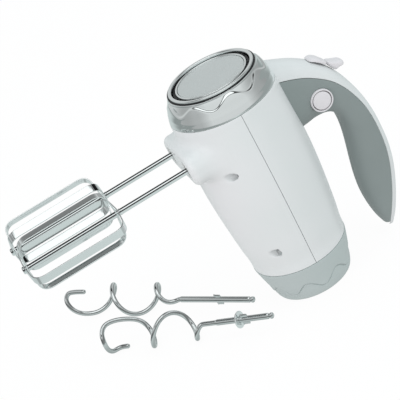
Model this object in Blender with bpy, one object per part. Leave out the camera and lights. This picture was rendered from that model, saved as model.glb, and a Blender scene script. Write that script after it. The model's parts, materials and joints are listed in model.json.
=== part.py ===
"""Electric hand mixer standing on its heel, with two strip-wire beaters fitted and two
loose dough hooks lying on the table beside it.

Frame: +Z up along the barrel's axis, origin at the middle of the heel's flat foot.
-X is the nose, where the beaters go in; +X is the handle. "Near" is the -Y side and
"far" the +Y side. Every dimension is in millimetres and becomes metres through MM.
"""

import math
from itertools import count

import bmesh
import bpy
from mathutils import Matrix, Vector

MM = 0.001
GAP = 0.35  # clearance between neighbouring pieces
SEAM = 0.4  # gap between stacked casing pieces
ORIGIN = (0, 0, 0)
ALONG_X, ALONG_Y, ALONG_Z = (1, 0, 0), (0, 1, 0), (0, 0, 1)

# ---- dimensions shared by several sections -----------------------------------
WALL = 2.4
HEEL_TOP = 31.5
BODY_BOTTOM, BODY_TOP = HEEL_TOP + SEAM, 177.5
RING_BOTTOM, RING_TOP = BODY_TOP + SEAM, 199.8
# barrel outline, (height, radius): narrow foot, fullest a little above the middle
BARREL = [
    (0.0, 31.4), (2.0, 33.0), (6.0, 34.5), (12.0, 35.7), (24.0, 38.6), (31.9, 40.2),
    (40.0, 40.6), (52.0, 42.2), (70.0, 44.0), (90.0, 45.6), (110.0, 46.6), (125.0, 46.7),
    (150.0, 46.2), (171.0, 45.4), (177.9, 45.1), (183.0, 43.4), (187.0, 42.0),
    (192.0, 40.4), (196.0, 38.6), (198.4, 37.0), (199.8, 34.9)]
BARREL_SEGS = 32
RING_STATIONS = [RING_BOTTOM, 183.0, 187.0, 192.0, 196.0]  # heights

SHAFT_Z = 149.1  # height of both beater axes
SHAFT_Y = 19.5  # half their spacing
SIDES = (("near", -SHAFT_Y), ("far", SHAFT_Y))
MOTOR_SHAFT_R = 2.5
SHAFT_BORE = MOTOR_SHAFT_R + GAP

CORD_Z, CORD_AZIMUTH = 65.0, math.radians(70)
CORD_AXIS = Vector((math.cos(CORD_AZIMUTH), math.sin(CORD_AZIMUTH), 0))

SELECTOR_PIVOT = (45.0, 121.8)  # centre of the arc track, (x, z)
TURBO_X, TURBO_Z = 66.6, 138.8
EJECT_Y, SELECTOR_Y = -3.5, 3.0  # middles of the two control stems
STEM_HALF, STEM_SLOT_HALF = 2.0, 2.6

HOOK_A_AT, HOOK_B_AT = (-129.7, 98.2), (-120.3, 22.6)  # between the two full turns

MATERIALS = {
    "body_white": dict(rgb=(0.80, 0.84, 0.84), roughness=0.32),
    "grip_grey": dict(rgb=(0.30, 0.34, 0.335), roughness=0.55),
    "heel_grey": dict(rgb=(0.50, 0.55, 0.545), roughness=0.42),
    "chrome": dict(rgb=(0.86, 0.88, 0.88), roughness=0.08, metallic=1.0),
    "brushed_plate": dict(rgb=(0.56, 0.60, 0.60), roughness=0.34, metallic=1.0),
    "dark_plastic": dict(rgb=(0.05, 0.05, 0.055), roughness=0.5),
    "button_pale": dict(rgb=(0.76, 0.72, 0.76), roughness=0.35),
    "steel": dict(rgb=(0.60, 0.61, 0.62), roughness=0.3, metallic=1.0),
    "copper": dict(rgb=(0.72, 0.38, 0.22), roughness=0.35, metallic=1.0),
    "laminated_iron": dict(rgb=(0.33, 0.34, 0.35), roughness=0.5, metallic=1.0),
    "brass": dict(rgb=(0.75, 0.60, 0.30), roughness=0.3, metallic=1.0),
    "carbon": dict(rgb=(0.06, 0.06, 0.06), roughness=0.7),
    "zinc_casting": dict(rgb=(0.58, 0.59, 0.60), roughness=0.45, metallic=1.0),
    "gear_nylon": dict(rgb=(0.86, 0.84, 0.76), roughness=0.4),
}

# points on the joints' axes, which the moving pieces hang from
PIVOTS = {
    "armature": (0, 0, 36.4),
    "gear_near": (0, -SHAFT_Y, SHAFT_Z),
    "gear_far": (0, SHAFT_Y, SHAFT_Z),
    "ejector": (21.0, 0, SHAFT_Z),
    "eject": (78.0, 0, 165.0),
    "selector": (SELECTOR_PIVOT[0], 0, SELECTOR_PIVOT[1]),
    "turbo": (TURBO_X, -15.0, TURBO_Z),
    "hook_a": (*HOOK_A_AT, 0),
    "hook_b": (*HOOK_B_AT, 0),
}


# =============================== scene ============================================
materials = {}
pivots = {}
helper_numbers = count(1)


def clear_scene():
    for obj in list(bpy.data.objects):
        bpy.data.objects.remove(obj, do_unlink=True)


def make_material(name, rgb, roughness, metallic=0.0):
    mat = bpy.data.materials.new(name)
    mat.use_nodes = True
    shader = mat.node_tree.nodes["Principled BSDF"]
    shader.inputs["Base Color"].default_value = (*rgb, 1.0)
    shader.inputs["Roughness"].default_value = roughness
    shader.inputs["Metallic"].default_value = metallic
    mat.diffuse_color = (*rgb, 1.0)
    materials[name] = mat


def make_pivot(name, at):
    empty = bpy.data.objects.new("pivot_" + name, None)
    empty.location = Vector(at) * MM
    bpy.context.scene.collection.objects.link(empty)
    pivots[name] = empty


def mesh_object(name, shape, origin=ORIGIN):
    """Makes an object from a shape, which is (points, faces) in the common frame."""
    points, faces = shape
    mesh = bpy.data.meshes.new(name)
    mesh.from_pydata([(Vector(p) - Vector(origin)) * MM for p in points], [], faces)
    bm = bmesh.new()
    bm.from_mesh(mesh)
    bmesh.ops.remove_doubles(bm, verts=bm.verts, dist=1e-6)
    bmesh.ops.recalc_face_normals(bm, faces=bm.faces)
    bm.to_mesh(mesh)
    bm.free()
    obj = bpy.data.objects.new(name, mesh)
    bpy.context.scene.collection.objects.link(obj)
    return obj


def place(name, shape, mat, on=None):
    """Makes a visible piece; its origin is its pivot's, or the frame's."""
    obj = mesh_object(name, shape, PIVOTS[on] if on else ORIGIN)
    if on:
        obj.parent = pivots[on]
    obj.data.materials.append(materials[mat])
    obj.data.shade_smooth()
    obj.data.set_sharp_from_angle(angle=math.radians(40))
    return obj


def boolean(obj, shape, operation):
    tool = mesh_object(f"helper_{next(helper_numbers)}", shape)
    tool.hide_render = True
    tool.display_type = "WIRE"
    mod = obj.modifiers.new(operation.lower(), "BOOLEAN")
    mod.operation = operation
    mod.object = tool


def cut(obj, *shapes):
    for shape in shapes:
        boolean(obj, shape, "DIFFERENCE")


def add(obj, *shapes):
    for shape in shapes:
        boolean(obj, shape, "UNION")


# =============================== shapes ===========================================
def turned(profile, segs, axis=ALONG_Z, at=ORIGIN, start=0.0, sweep=360.0):
    """Revolves a profile of (radius, height) points about an axis. A profile that begins
    and ends on the axis closes there; any other profile is a closed loop."""
    turn = Vector(ALONG_Z).rotation_difference(Vector(axis)).to_matrix()
    at = Vector(at)
    full = sweep >= 359.999
    columns = segs if full else segs + 1
    points, rings = [], []
    for radius, height in profile:
        if radius < 1e-9:
            points.append(at + turn @ Vector((0, 0, height)))
            rings.append([len(points) - 1] * columns)
            continue
        ring = []
        for i in range(columns):
            angle = math.radians(start + sweep * i / segs)
            spot = Vector((radius * math.cos(angle), radius * math.sin(angle), height))
            points.append(at + turn @ spot)
            ring.append(len(points) - 1)
        rings.append(ring)
    on_axis = profile[0][0] < 1e-9 and profile[-1][0] < 1e-9
    faces = []
    for k in range(len(rings) - 1 if on_axis else len(rings)):
        one, two = rings[k], rings[(k + 1) % len(rings)]
        for i in range(segs):
            j = (i + 1) % columns
            face = []
            for v in (one[i], one[j], two[j], two[i]):
                if v not in face:
                    face.append(v)
            if len(face) > 2:
                faces.append(face)
    if not full:
        faces.append([ring[0] for ring in rings])
        faces.append([ring[-1] for ring in rings][::-1])
    return points, faces


def rod(radius, low, high, segs, axis=ALONG_Z, at=ORIGIN):
    return turned([(0, low), (radius, low), (radius, high), (0, high)], segs, axis, at)


def tube(outer, inner, low, high, segs, axis=ALONG_Z, at=ORIGIN):
    return turned([(outer, low), (outer, high), (inner, high), (inner, low)], segs, axis, at)


def across(half, middle=0.0):
    return middle - half, middle + half


def block(x_span, y_span, z_span):
    """Box between pairs of limits, given in either order."""
    points = [(x, y, z) for x in sorted(x_span) for y in sorted(y_span) for z in sorted(z_span)]
    faces = [[0, 1, 3, 2], [4, 6, 7, 5], [0, 4, 5, 1], [2, 3, 7, 6], [0, 2, 6, 4], [1, 5, 7, 3]]
    return points, faces


def moved(shape, matrix):
    return [matrix @ Vector(p) for p in shape[0]], shape[1]


def around(shape, copies, first=0.0):
    """Copies of a shape, evenly spaced about the Z axis from an angle in degrees."""
    points, faces = [], []
    for i in range(copies):
        turn = Matrix.Rotation(math.radians(first + 360 * i / copies), 3, "Z")
        base = len(points)
        points += moved(shape, turn)[0]
        faces += [[base + v for v in face] for face in shape[1]]
    return points, faces


def loft(sections, closed=False):
    """Joins equal closed loops into a solid, capped at both ends unless it closes on itself."""
    n = len(sections[0])
    points = [p for section in sections for p in section]
    faces = []
    for k in range(len(sections) if closed else len(sections) - 1):
        this, following = k * n, ((k + 1) % len(sections)) * n
        for i in range(n):
            j = (i + 1) % n
            faces.append([this + i, this + j, following + j, following + i])
    if not closed:
        faces.append(list(range(n)))
        faces.append([len(points) - n + i for i in range(n)][::-1])
    return points, faces


def prism(outline, half_width, bevel):
    """Extrudes an XZ outline along Y, its side edges softened by an inset."""
    middle_x = sum(p[0] for p in outline) / len(outline)
    middle_z = sum(p[1] for p in outline) / len(outline)

    def ring(y, inset):
        loop = []
        for x, z in outline:
            distance = math.hypot(x - middle_x, z - middle_z)
            shrink = max(0.2, 1 - inset / distance)
            loop.append(Vector((middle_x + (x - middle_x) * shrink, y,
                                middle_z + (z - middle_z) * shrink)))
        return loop

    return loft([ring(-half_width, bevel), ring(-half_width + bevel, 0),
                 ring(half_width - bevel, 0), ring(half_width, bevel)])


def swept(path, radius, segs):
    """A round bar along a path, its frame carried without twist."""
    path = [Vector(p) for p in path]
    tangent = (path[1] - path[0]).normalized()
    side = tangent.orthogonal().normalized()
    sections = []
    for k, p in enumerate(path):
        ahead = (path[min(k + 1, len(path) - 1)] - path[max(k - 1, 0)]).normalized()
        side = tangent.rotation_difference(ahead) @ side
        tangent = ahead
        side = (side - tangent * side.dot(tangent)).normalized()
        up = tangent.cross(side)
        angles = [2 * math.pi * i / segs for i in range(segs)]
        sections.append([p + radius * (side * math.cos(a) + up * math.sin(a)) for a in angles])
    return loft(sections)


def barrel_radius(z):
    """Smooth radius through the barrel's stations (Catmull-Rom in height)."""
    last = len(BARREL) - 1
    k = max(i for i in range(last) if BARREL[i][0] <= z)
    (z0, r0), (z1, r1) = BARREL[k], BARREL[k + 1]
    before, after = BARREL[max(k - 1, 0)], BARREL[min(k + 2, last)]
    slope0 = (r1 - before[1]) / (z1 - before[0])
    slope1 = (after[1] - r0) / (after[0] - z0)
    height = z1 - z0
    t = (z - z0) / height
    return ((2 * t ** 3 - 3 * t ** 2 + 1) * r0 + (t ** 3 - 2 * t ** 2 + t) * height * slope0
            + (-2 * t ** 3 + 3 * t ** 2) * r1 + (t ** 3 - t ** 2) * height * slope1)


# =============================== casing ===========================================
SHELL_STATIONS = [BODY_BOTTOM, 40.0, 52.0, 70.0, 90.0, 110.0, 127.0, 146.0, 163.0, BODY_TOP]
SHELL_SPLIT = 0.5  # degrees left open at each joint between the half shells
NOSE_X = -53.5  # flat nose face
NOSE_HALF_Y, NOSE_HALF_Z, NOSE_CORNER = 34.5, 13.8, 12.2
# (x, inset) from the softened face back into the barrel
NOSE_STATIONS = [(NOSE_X, 4.2), (NOSE_X + 1.4, 1.3), (NOSE_X + 4.6, 0.0), (-34.0, 0.0)]
NOSE_CAVITY = [(NOSE_X + WALL, WALL), (-20.0, WALL)]
SOCKET_R = 6.8
SCREW_SITES = [(36.8, 133.0), (34.6, 54.9)]  # distance from Y = 0, height
BOSS_R, SCREW_HOLE_R, HEAD_HOLE_R = 4.2, 1.95, 3.45
# (radius, x): pan head with a driver socket, shank and point
SCREW = [(0, -21.2), (1.0, -21.2), (1.2, -22.6), (3.1, -22.6), (3.1, -20.4), (1.6, -20.4),
         (1.6, 8.5), (0, 10.0)]
# the profiles below are (radius, height)
HEEL = [(0, 0), (30.4, 0), (32.2, 0.9), (33.6, 3.6), (35.1, 9), (36.6, 16), (38.7, 25),
        (40.6, HEEL_TOP), (38.0, HEEL_TOP), (36.2, 25), (32.8, 10), (30.0, 2.8), (0, 2.8)]
RING_INSIDE = [(35.8, RING_TOP), (34.2, 200.8), (33.2, 199.2), (33.0, 193.0), (36.4, 190.4),
               (39.2, 185.0), (42.2, RING_BOTTOM)]
VENT_CAP = [(0, 190), (32.5, 190), (32.5, 197.4), (30.6, 197.4), (30.6, 192.4), (0, 192.4)]
EMBLEM_PLATE = [(0, 196.0), (28.2, 196.0), (28.2, 198.2), (27.9, 198.4), (0, 198.4)]


def half_shell(facing):
    """Half of the barrel's wall, its middle at an azimuth in degrees."""
    outer = [(barrel_radius(z), z) for z in SHELL_STATIONS]
    inner = [(barrel_radius(z) - WALL, z) for z in reversed(SHELL_STATIONS)]
    return turned(outer + inner, BARREL_SEGS // 2, start=facing - 90 + SHELL_SPLIT / 2,
                  sweep=180.0 - SHELL_SPLIT)


def nose_section(x, inset):
    """Rounded rectangle in the YZ plane about the beater axes' height."""
    corner = NOSE_CORNER - inset
    loop = []
    for side_y, side_z, first in ((1, 1, 0), (-1, 1, 90), (-1, -1, 180), (1, -1, 270)):
        for i in range(5):
            angle = math.radians(first + 90.0 * i / 4)
            y = side_y * (NOSE_HALF_Y - NOSE_CORNER) + corner * math.cos(angle)
            z = side_z * (NOSE_HALF_Z - NOSE_CORNER) + corner * math.sin(angle)
            loop.append(Vector((x, y, SHAFT_Z + z)))
    return loop


def make_nose_shell():
    nose = place("nose_side_shell", half_shell(180), "body_white")
    add(nose, loft([nose_section(x, inset) for x, inset in NOSE_STATIONS]))
    cut(nose, loft([nose_section(x, inset) for x, inset in NOSE_CAVITY]))
    for _, y in SIDES:
        cut(nose, rod(SOCKET_R, -60, -45, 20, ALONG_X, (0, y, SHAFT_Z)))
    return nose


def make_handle_side_shell():
    shell = place("handle_side_shell", half_shell(0), "body_white")
    cut(shell, block((36, 52), across(10), (138, 162)))  # opening into the handle
    cut(shell, rod(5.0, 30, 50, 16, CORD_AXIS, (0, 0, CORD_Z)))
    return shell


def fit_case_screw(number, y, z, side, nose, handle_side):
    """A screw along X, with a boss and a web to the wall in each half shell."""
    at = (0, side * y, z)
    web_y = (side * (y + 1.7), side * (barrel_radius(z) - 0.8))
    web_z = (z - 1.15, z + 1.25)
    add(nose, rod(BOSS_R, -21.7, -0.4, 14, ALONG_X, at), block((-10.3, -0.9), web_y, web_z))
    cut(nose, rod(HEAD_HOLE_R, -45, -20, 11, ALONG_X, at),
        rod(SCREW_HOLE_R, -30, 5, 9, ALONG_X, at))
    add(handle_side, rod(BOSS_R, 0.4, 14, 14, ALONG_X, at), block((0.9, 10.3), web_y, web_z))
    cut(handle_side, rod(SCREW_HOLE_R, -5, 11, 9, ALONG_X, at))
    place(f"case_screw_{number}", turned(SCREW, 8, ALONG_X, at), "steel")


def make_heel():
    heel = place("heel_cap", turned(HEEL, BARREL_SEGS), "heel_grey")
    cut(heel, around(block((14, 26), across(1.5), (-2, 6)), 6, 30))


def make_top_trim():
    ring = [(barrel_radius(z), z) for z in RING_STATIONS + [199.0]] + RING_INSIDE
    place("front_trim_ring", turned(ring, BARREL_SEGS), "chrome")
    vent = place("vent_cap", turned(VENT_CAP, BARREL_SEGS), "dark_plastic")
    cut(vent, around(block((31.0, 31.9), across(2.2), (188, 199)), 12, 7.5))
    place("emblem_ring", tube(30.2, 28.6, 192.8, 198.8, BARREL_SEGS), "chrome")
    place("emblem_plate", turned(EMBLEM_PLATE, BARREL_SEGS), "brushed_plate")


def make_casing():
    nose = make_nose_shell()
    handle_side = make_handle_side_shell()
    sites = [(y, z, side) for y, z in SCREW_SITES for side in (-1, 1)]
    for number, (y, z, side) in enumerate(sites, 1):
        fit_case_screw(number, y, z, side, nose, handle_side)
    make_heel()
    make_top_trim()


# =============================== handle ===========================================
# outer (x, z), inner (x, z), half width, share of the depth taken by the white strap
HANDLE = [
    ((40.0, 186.5), (40.0, 121.8), 17.0, 0.23), ((52.0, 181.0), (50.0, 122.8), 16.0, 0.235),
    ((64.0, 174.4), (58.6, 123.8), 15.5, 0.245), ((75.0, 166.0), (67.0, 122.8), 15.0, 0.26),
    ((84.0, 156.5), (72.6, 119.6), 15.0, 0.255), ((91.3, 144.8), (75.0, 114.4), 15.0, 0.235),
    ((96.6, 131.6), (75.4, 107.2), 15.0, 0.20), ((100.4, 118.0), (74.8, 99.5), 15.0, 0.17),
    ((102.6, 103.7), (73.4, 90.5), 15.0, 0.16), ((103.2, 89.0), (71.4, 80.5), 15.0, 0.155),
    ((102.7, 73.2), (69.0, 69.0), 15.0, 0.165), ((100.4, 58.2), (66.9, 56.5), 14.6, 0.185),
    ((96.4, 44.4), (65.8, 43.5), 14.0, 0.22), ((90.8, 30.2), (66.4, 30.5), 13.0, 0.28),
    ((84.8, 17.6), (68.4, 18.0), 11.0, 0.41), ((79.6, 9.0), (71.0, 9.7), 8.0, 0.58)]
HANDLE_TIP = ((77.0, 4.8), (74.0, 5.4), 3.6, 1.0)  # all strap
HANDLE_POWER = 2.5  # superellipse exponent of its section
STRAP_STEPS, GRIP_STEPS = 8, 6
STRAP_SPLIT = 0.2  # half the gap between strap and grips
GRIP_SPLIT = 0.2  # half the gap between the two grips

# thumb controls, XZ outlines
HUMP = [(72.9, 168.6), (75.2, 169.0), (78.2, 168.0), (81.4, 165.6), (83.7, 162.6),
        (85.8, 159.9), (84.6, 157.9), (79.8, 162.9), (75.4, 167.2)]
FIN = [(86.8, 159.0), (90.2, 157.4), (94.4, 155.6), (97.0, 154.4), (98.5, 152.6),
       (98.3, 150.4), (96.6, 149.8), (93.7, 149.9), (90.2, 149.7), (88.9, 150.8), (85.4, 157.1)]
HUMP_HALF, FIN_HALF = 7.6, 6.6
TURBO_AT = (TURBO_X, 0, TURBO_Z)
TURBO_BUTTON = [(0, -17.9), (6.6, -17.5), (7.7, -16.0), (7.7, -11.0), (3.0, -11.0),
                (3.0, -8.0), (0, -8.0)]  # (radius, y)


def seam_level(station, offset):
    """Level of the strap's edge: 1 at the handle's outside, -1 at its inside."""
    outer, inner, _, share = station
    return 1 - 2 * share + offset / (math.dist(outer, inner) / 2)


def wall_loop(station, angles, side_of):
    """Closed loop along a station's outer face and back along the wall's inner face.
    Angle 0 is the handle's outside and pi its inside; side_of gives the sign of Y."""
    (outer_x, outer_z), (inner_x, inner_z), half_width, _ = station
    outer, inner = Vector((outer_x, 0, outer_z)), Vector((inner_x, 0, inner_z))
    middle, outward = (outer + inner) / 2, (outer - inner).normalized()
    half_depth = (outer - inner).length / 2
    wall = min(WALL, 0.45 * half_depth, 0.45 * half_width)
    loop = []
    for inset, run in ((0, angles), (wall, angles[::-1])):
        for angle in run:
            level = math.cos(angle)
            width = (1 - abs(level) ** HANDLE_POWER) ** (1 / HANDLE_POWER)
            y = side_of(angle) * width * (half_width - inset)
            loop.append(middle + outward * (level * (half_depth - inset)) + Vector((0, y, 0)))
    return loop


def strap_section(station):
    low = -0.9 if station is HANDLE_TIP else seam_level(station, STRAP_SPLIT)
    angles = [math.acos(low) * (-1 + 2 * i / STRAP_STEPS) for i in range(STRAP_STEPS + 1)]
    return wall_loop(station, angles, lambda angle: -1 if angle < 0 else 1)


def grip_section(station, side):
    top = math.acos(seam_level(station, -STRAP_SPLIT))
    angles = [top + (math.pi - top) * i / GRIP_STEPS for i in range(GRIP_STEPS + 1)]
    loop = wall_loop(station, angles, lambda angle: side)
    for p in loop:
        if abs(p.y) < GRIP_SPLIT:
            p.y = side * GRIP_SPLIT
    return loop


def keepout():
    """The barrel and its ring, grown by the gap: what the handle pieces are cut back from."""
    heights = [100, 110, 127, 146, 163] + RING_STATIONS
    stations = [(barrel_radius(z) + GAP, z) for z in heights]
    return turned([(0, 100)] + stations + [(0, 196.0)], BARREL_SEGS, start=4.5)


def track_block(radii, degrees, y_span):
    """Block that follows the selector's arc track."""
    (low_r, high_r), (first, last), (low_y, high_y) = radii, degrees, y_span
    corners = ((low_r, low_y), (high_r, low_y), (high_r, high_y), (low_r, high_y))
    pivot_x, pivot_z = SELECTOR_PIVOT
    sections = []
    for i in range(4):
        angle = math.radians(first + (last - first) * i / 3)
        sections.append([Vector((pivot_x + r * math.cos(angle), y, pivot_z + r * math.sin(angle)))
                         for r, y in corners])
    return loft(sections)


def make_top_cover():
    """White strap, slotted for the eject button's and the selector's stems."""
    cover = place("handle_top_cover", loft([strap_section(s) for s in HANDLE + [HANDLE_TIP]]),
                  "body_white")
    cut(cover, keepout(),
        block((72.6, 81.6), across(STEM_SLOT_HALF, EJECT_Y), (150, 185)),
        track_block((46, 60), (26.0, 41.5), across(STEM_SLOT_HALF, SELECTOR_Y)))


def make_grips():
    for name, side in (("grip_left", -1), ("grip_right", 1)):
        grip = place(name, loft([grip_section(s, side) for s in HANDLE]), "grip_grey")
        cut(grip, keepout())
        if side < 0:
            cut(grip, rod(9.9, -22, -6, 24, ALONG_Y, TURBO_AT))


def make_controls():
    place("button_bezel", tube(9.5, 8.1, -17.2, -12.4, 20, ALONG_Y, TURBO_AT), "button_pale")
    place("turbo_button", turned(TURBO_BUTTON, 16, ALONG_Y, TURBO_AT), "button_pale", on="turbo")
    hump = place("eject_button", prism(HUMP, HUMP_HALF, 1.6), "button_pale", on="eject")
    add(hump, block((77.2, 81.0), across(STEM_HALF, EJECT_Y), (145.2, 164.6)))
    fin = place("speed_selector", prism(FIN, FIN_HALF, 1.5), "button_pale", on="selector")
    add(fin, track_block((46.6, 57.0), (36.6, 40.6), across(STEM_HALF, SELECTOR_Y)))
    place("switch_block", block((68, 80), (1.5, 8.0), (133, 145)), "dark_plastic")


def make_handle():
    make_top_cover()
    make_grips()
    make_controls()


# =============================== motor ============================================
# plates with a bearing cup, (radius, height)
BASE_PLATE = [(2.9, 35.6), (36.5, 35.6), (36.5, 38.4), (10.0, 38.4), (10.0, 44.6),
              (7.4, 44.6), (7.4, 38.9), (2.9, 38.9)]
BRACKET = [(6.0, 118.6), (38.0, 118.6), (38.0, 121.6), (11.0, 121.6), (11.0, 127.2),
           (8.4, 127.2), (8.4, 120.6), (6.0, 120.6)]
STACK = (70.0, 101.0)  # heights of the stator's laminations
CORE_BOTTOM, CORE_TOP, CORE_R = 71.0, 100.0, 16.4
LOWER_WINDING = [(6.0, 64.0), (14.6, 64.0), (15.4, 66.0), (15.4, 69.5), (14.8, 70.6), (6.0, 70.6)]
UPPER_WINDING = [(6.0, 100.4), (14.8, 100.4), (15.4, 101.5), (15.4, 104.5), (14.2, 106.0),
                 (6.0, 106.0)]
ARMATURE_SLOTS = 6
# hub with a disc over the blades
FAN = [(SHAFT_BORE, 108.4), (6.5, 108.4), (6.5, 115.4), (30.0, 115.4), (30.0, 117.0),
       (SHAFT_BORE, 117.0)]
FAN_BLADES = 7
FAN_PHASE = 0.37  # first blade's place, in blade spacings


def make_motor_base():
    base = place("motor_base_plate", turned(BASE_PLATE, 20), "dark_plastic")
    cut(base, around(rod(7.0, 30, 42, 8, at=(24, 0, 0)), 4, 45))
    place("lower_bearing", tube(7.05, SHAFT_BORE, 39.3, 44.2, 14), "steel")


def make_commutator():
    """Commutator with a carbon brush in a brass holder on each side along X."""
    place("commutator", tube(10.0, SHAFT_BORE, 47.0, 60.0, 16), "copper", on="armature")
    for name, side in (("a", -1), ("b", 1)):
        holder = place(f"brush_holder_{name}",
                       block((side * 11.2, side * 30.0), across(5.0), (48.6, 58.6)), "brass")
        cut(holder, block((side * 10.6, side * 28.4), across(3.5), (50.1, 57.1)))
        place(f"carbon_brush_{name}",
              block((side * 10.4, side * 24.0), across(3.1), (50.5, 56.7)), "carbon")


def make_stator():
    """Yoke with two poles along Y, each a neck and a wide shoe bored for the armature."""
    stator = place("stator_core", tube(36.0, 29.0, *STACK, 28), "laminated_iron")
    add(stator, block(across(9), (15, 31), STACK), block(across(9), (-31, -15), STACK),
        block(across(14), (12, 20.2), STACK), block(across(14), (-20.2, -12), STACK))
    cut(stator, rod(17.2, 60, 110, 24))
    for name, side in (("a", -1), ("b", 1)):
        coil = place(f"field_coil_{name}",
                     block(across(15), (side * 20.7, side * 24.3), (64.5, 106.5)), "copper")
        cut(coil, block(across(9.4), (side * 18, side * 27), (69.6, 101.4)))


def make_armature():
    """Slotted core, and a winding of two end rings joined by a bar in each slot."""
    core = place("armature_core", tube(CORE_R, SHAFT_BORE, CORE_BOTTOM, CORE_TOP, 24),
                 "laminated_iron", on="armature")
    cut(core, around(block((8.6, 14.6), across(2.2), (60, 110)), ARMATURE_SLOTS))
    winding = place("armature_winding", turned(LOWER_WINDING, 18), "copper", on="armature")
    add(winding, turned(UPPER_WINDING, 18),
        around(block((9.0, 14.2), across(1.8), (67, 104)), ARMATURE_SLOTS))


def make_fan():
    fan = place("cooling_fan", turned(FAN, 20), "dark_plastic", on="armature")
    blade = block((5.2, 28.6), across(0.8), (109.3, 116.1))
    add(fan, around(blade, FAN_BLADES, 360 * FAN_PHASE / FAN_BLADES))


def make_motor_bracket():
    bracket = place("motor_bracket", turned(BRACKET, 20), "zinc_casting")
    cut(bracket, around(rod(8.0, 110, 125, 8, at=(25, 0, 0)), 4))
    place("upper_bearing", tube(8.05, SHAFT_BORE, 121.0, 126.6, 14), "steel")


def make_motor():
    make_motor_base()
    make_commutator()
    make_stator()
    make_armature()
    make_fan()
    make_motor_bracket()


# =============================== gearing ==========================================
WHEEL_TEETH = 24
WORM_PITCH_R = 4.5
WHEEL_PITCH_R = SHAFT_Y - WORM_PITCH_R
LEAD = 2 * math.pi * WHEEL_PITCH_R / WHEEL_TEETH
THREAD_STEPS, THREAD_TURNS = 14, 5  # steps in each turn
THREAD_ROOT_R, THREAD_TIP_R = 2.6, 5.45
THREAD_ROOT_HALF, THREAD_TIP_HALF = 1.15, 0.42
WHEEL_HALF = 4.0
TOOTH_ROOT_R, TOOTH_TIP_R = 13.5, 15.95
TOOTH_ROOT_HALF, TOOTH_TIP_HALF = 1.42, 0.50
SPINDLE_R, SPINDLE_BORE, PIN_R = 5.5, 2.9, 1.6
BEATER_IN = -26.0  # inner end of a fitted beater's shaft
# (radius, height): journal, core under the thread, top journal
MOTOR_SHAFT = [(0, 36.4), (MOTOR_SHAFT_R, 36.4), (MOTOR_SHAFT_R, 129.0), (3.1, 129.6),
               (3.1, 166.6), (MOTOR_SHAFT_R, 167.2), (MOTOR_SHAFT_R, 176.0), (0, 176.0)]
# (radius, x): pin with a head on its +X end
EJECTOR_PIN = [(0, BEATER_IN + 0.4), (PIN_R, BEATER_IN + 0.4), (PIN_R, 19.0), (3.0, 19.0),
               (3.0, 20.6), (0, 20.6)]
CHEEKS = ((-13.0, -9.0), (9.0, 13.0))  # x limits of the frame's two plates
# heights of each cross bar and of the cheek parts beside it
FRAME_ENDS = (((170.0, 175.2), (160, 175.2)), ((128.6, 131.0), (128.6, 140)))
SPRING_TURNS, SPRING_STEPS, SPRING_R = 3, 10, 5.2


def worm_thread():
    """Single right-hand thread: its ridge crosses azimuth 0 at the wheels' height."""
    steps = THREAD_STEPS * THREAD_TURNS
    sections = []
    for k in range(steps + 1):
        turn = k / THREAD_STEPS - THREAD_TURNS / 2
        angle, z = 2 * math.pi * turn, SHAFT_Z + LEAD * turn
        taper = min(1.0, 0.45 + 0.55 * min(k, steps - k) / 6)  # the thread fades at its ends
        tip = THREAD_ROOT_R + (THREAD_TIP_R - THREAD_ROOT_R) * taper
        out = Vector((math.cos(angle), math.sin(angle), 0))
        corners = ((THREAD_ROOT_R, -THREAD_ROOT_HALF), (tip, -THREAD_TIP_HALF),
                   (tip, THREAD_TIP_HALF), (THREAD_ROOT_R, THREAD_ROOT_HALF))
        sections.append([out * r + Vector((0, 0, z + rise)) for r, rise in corners])
    return loft(sections)


def wheel_shape(y):
    """Helical wheel: a tooth space faces the worm's ridge, and the teeth lean by its lead angle."""
    lean = LEAD / (2 * math.pi * WORM_PITCH_R) / WHEEL_PITCH_R
    pitch = 2 * math.pi / WHEEL_TEETH
    flanks = ((TOOTH_ROOT_R, -TOOTH_ROOT_HALF), (TOOTH_TIP_R, -TOOTH_TIP_HALF),
              (TOOTH_TIP_R, TOOTH_TIP_HALF), (TOOTH_ROOT_R, TOOTH_ROOT_HALF))
    sections = []
    for x in (-WHEEL_HALF, WHEEL_HALF):
        ring = []
        for tooth in range(WHEEL_TEETH):
            middle = pitch / 4 + tooth * pitch + lean * x
            for r, offset in flanks:
                angle = middle + offset / r
                ring.append(Vector((x, y + r * math.cos(angle), SHAFT_Z + r * math.sin(angle))))
        sections.append(ring)
    return loft(sections)


def make_worm_shaft():
    shaft = place("motor_shaft_worm", turned(MOTOR_SHAFT, 16), "steel", on="armature")
    add(shaft, worm_thread())


def make_gear_frame():
    plates = [block(cheek, across(31), (130.0, 168.0)) for cheek in CHEEKS]
    frame = place("gear_frame", plates[0], "zinc_casting")
    add(frame, plates[1])
    for bar_z, cheek_z in FRAME_ENDS:
        add(frame, block(across(12), across(10), bar_z),
            *[block(cheek, across(10), cheek_z) for cheek in CHEEKS])
    cut(frame, rod(6.2, 120, 140, 16), rod(4.9, 165, 180, 16))
    place("worm_bush", tube(4.5, SHAFT_BORE, 170.4, 174.8, 16), "brass")
    return frame


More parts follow.
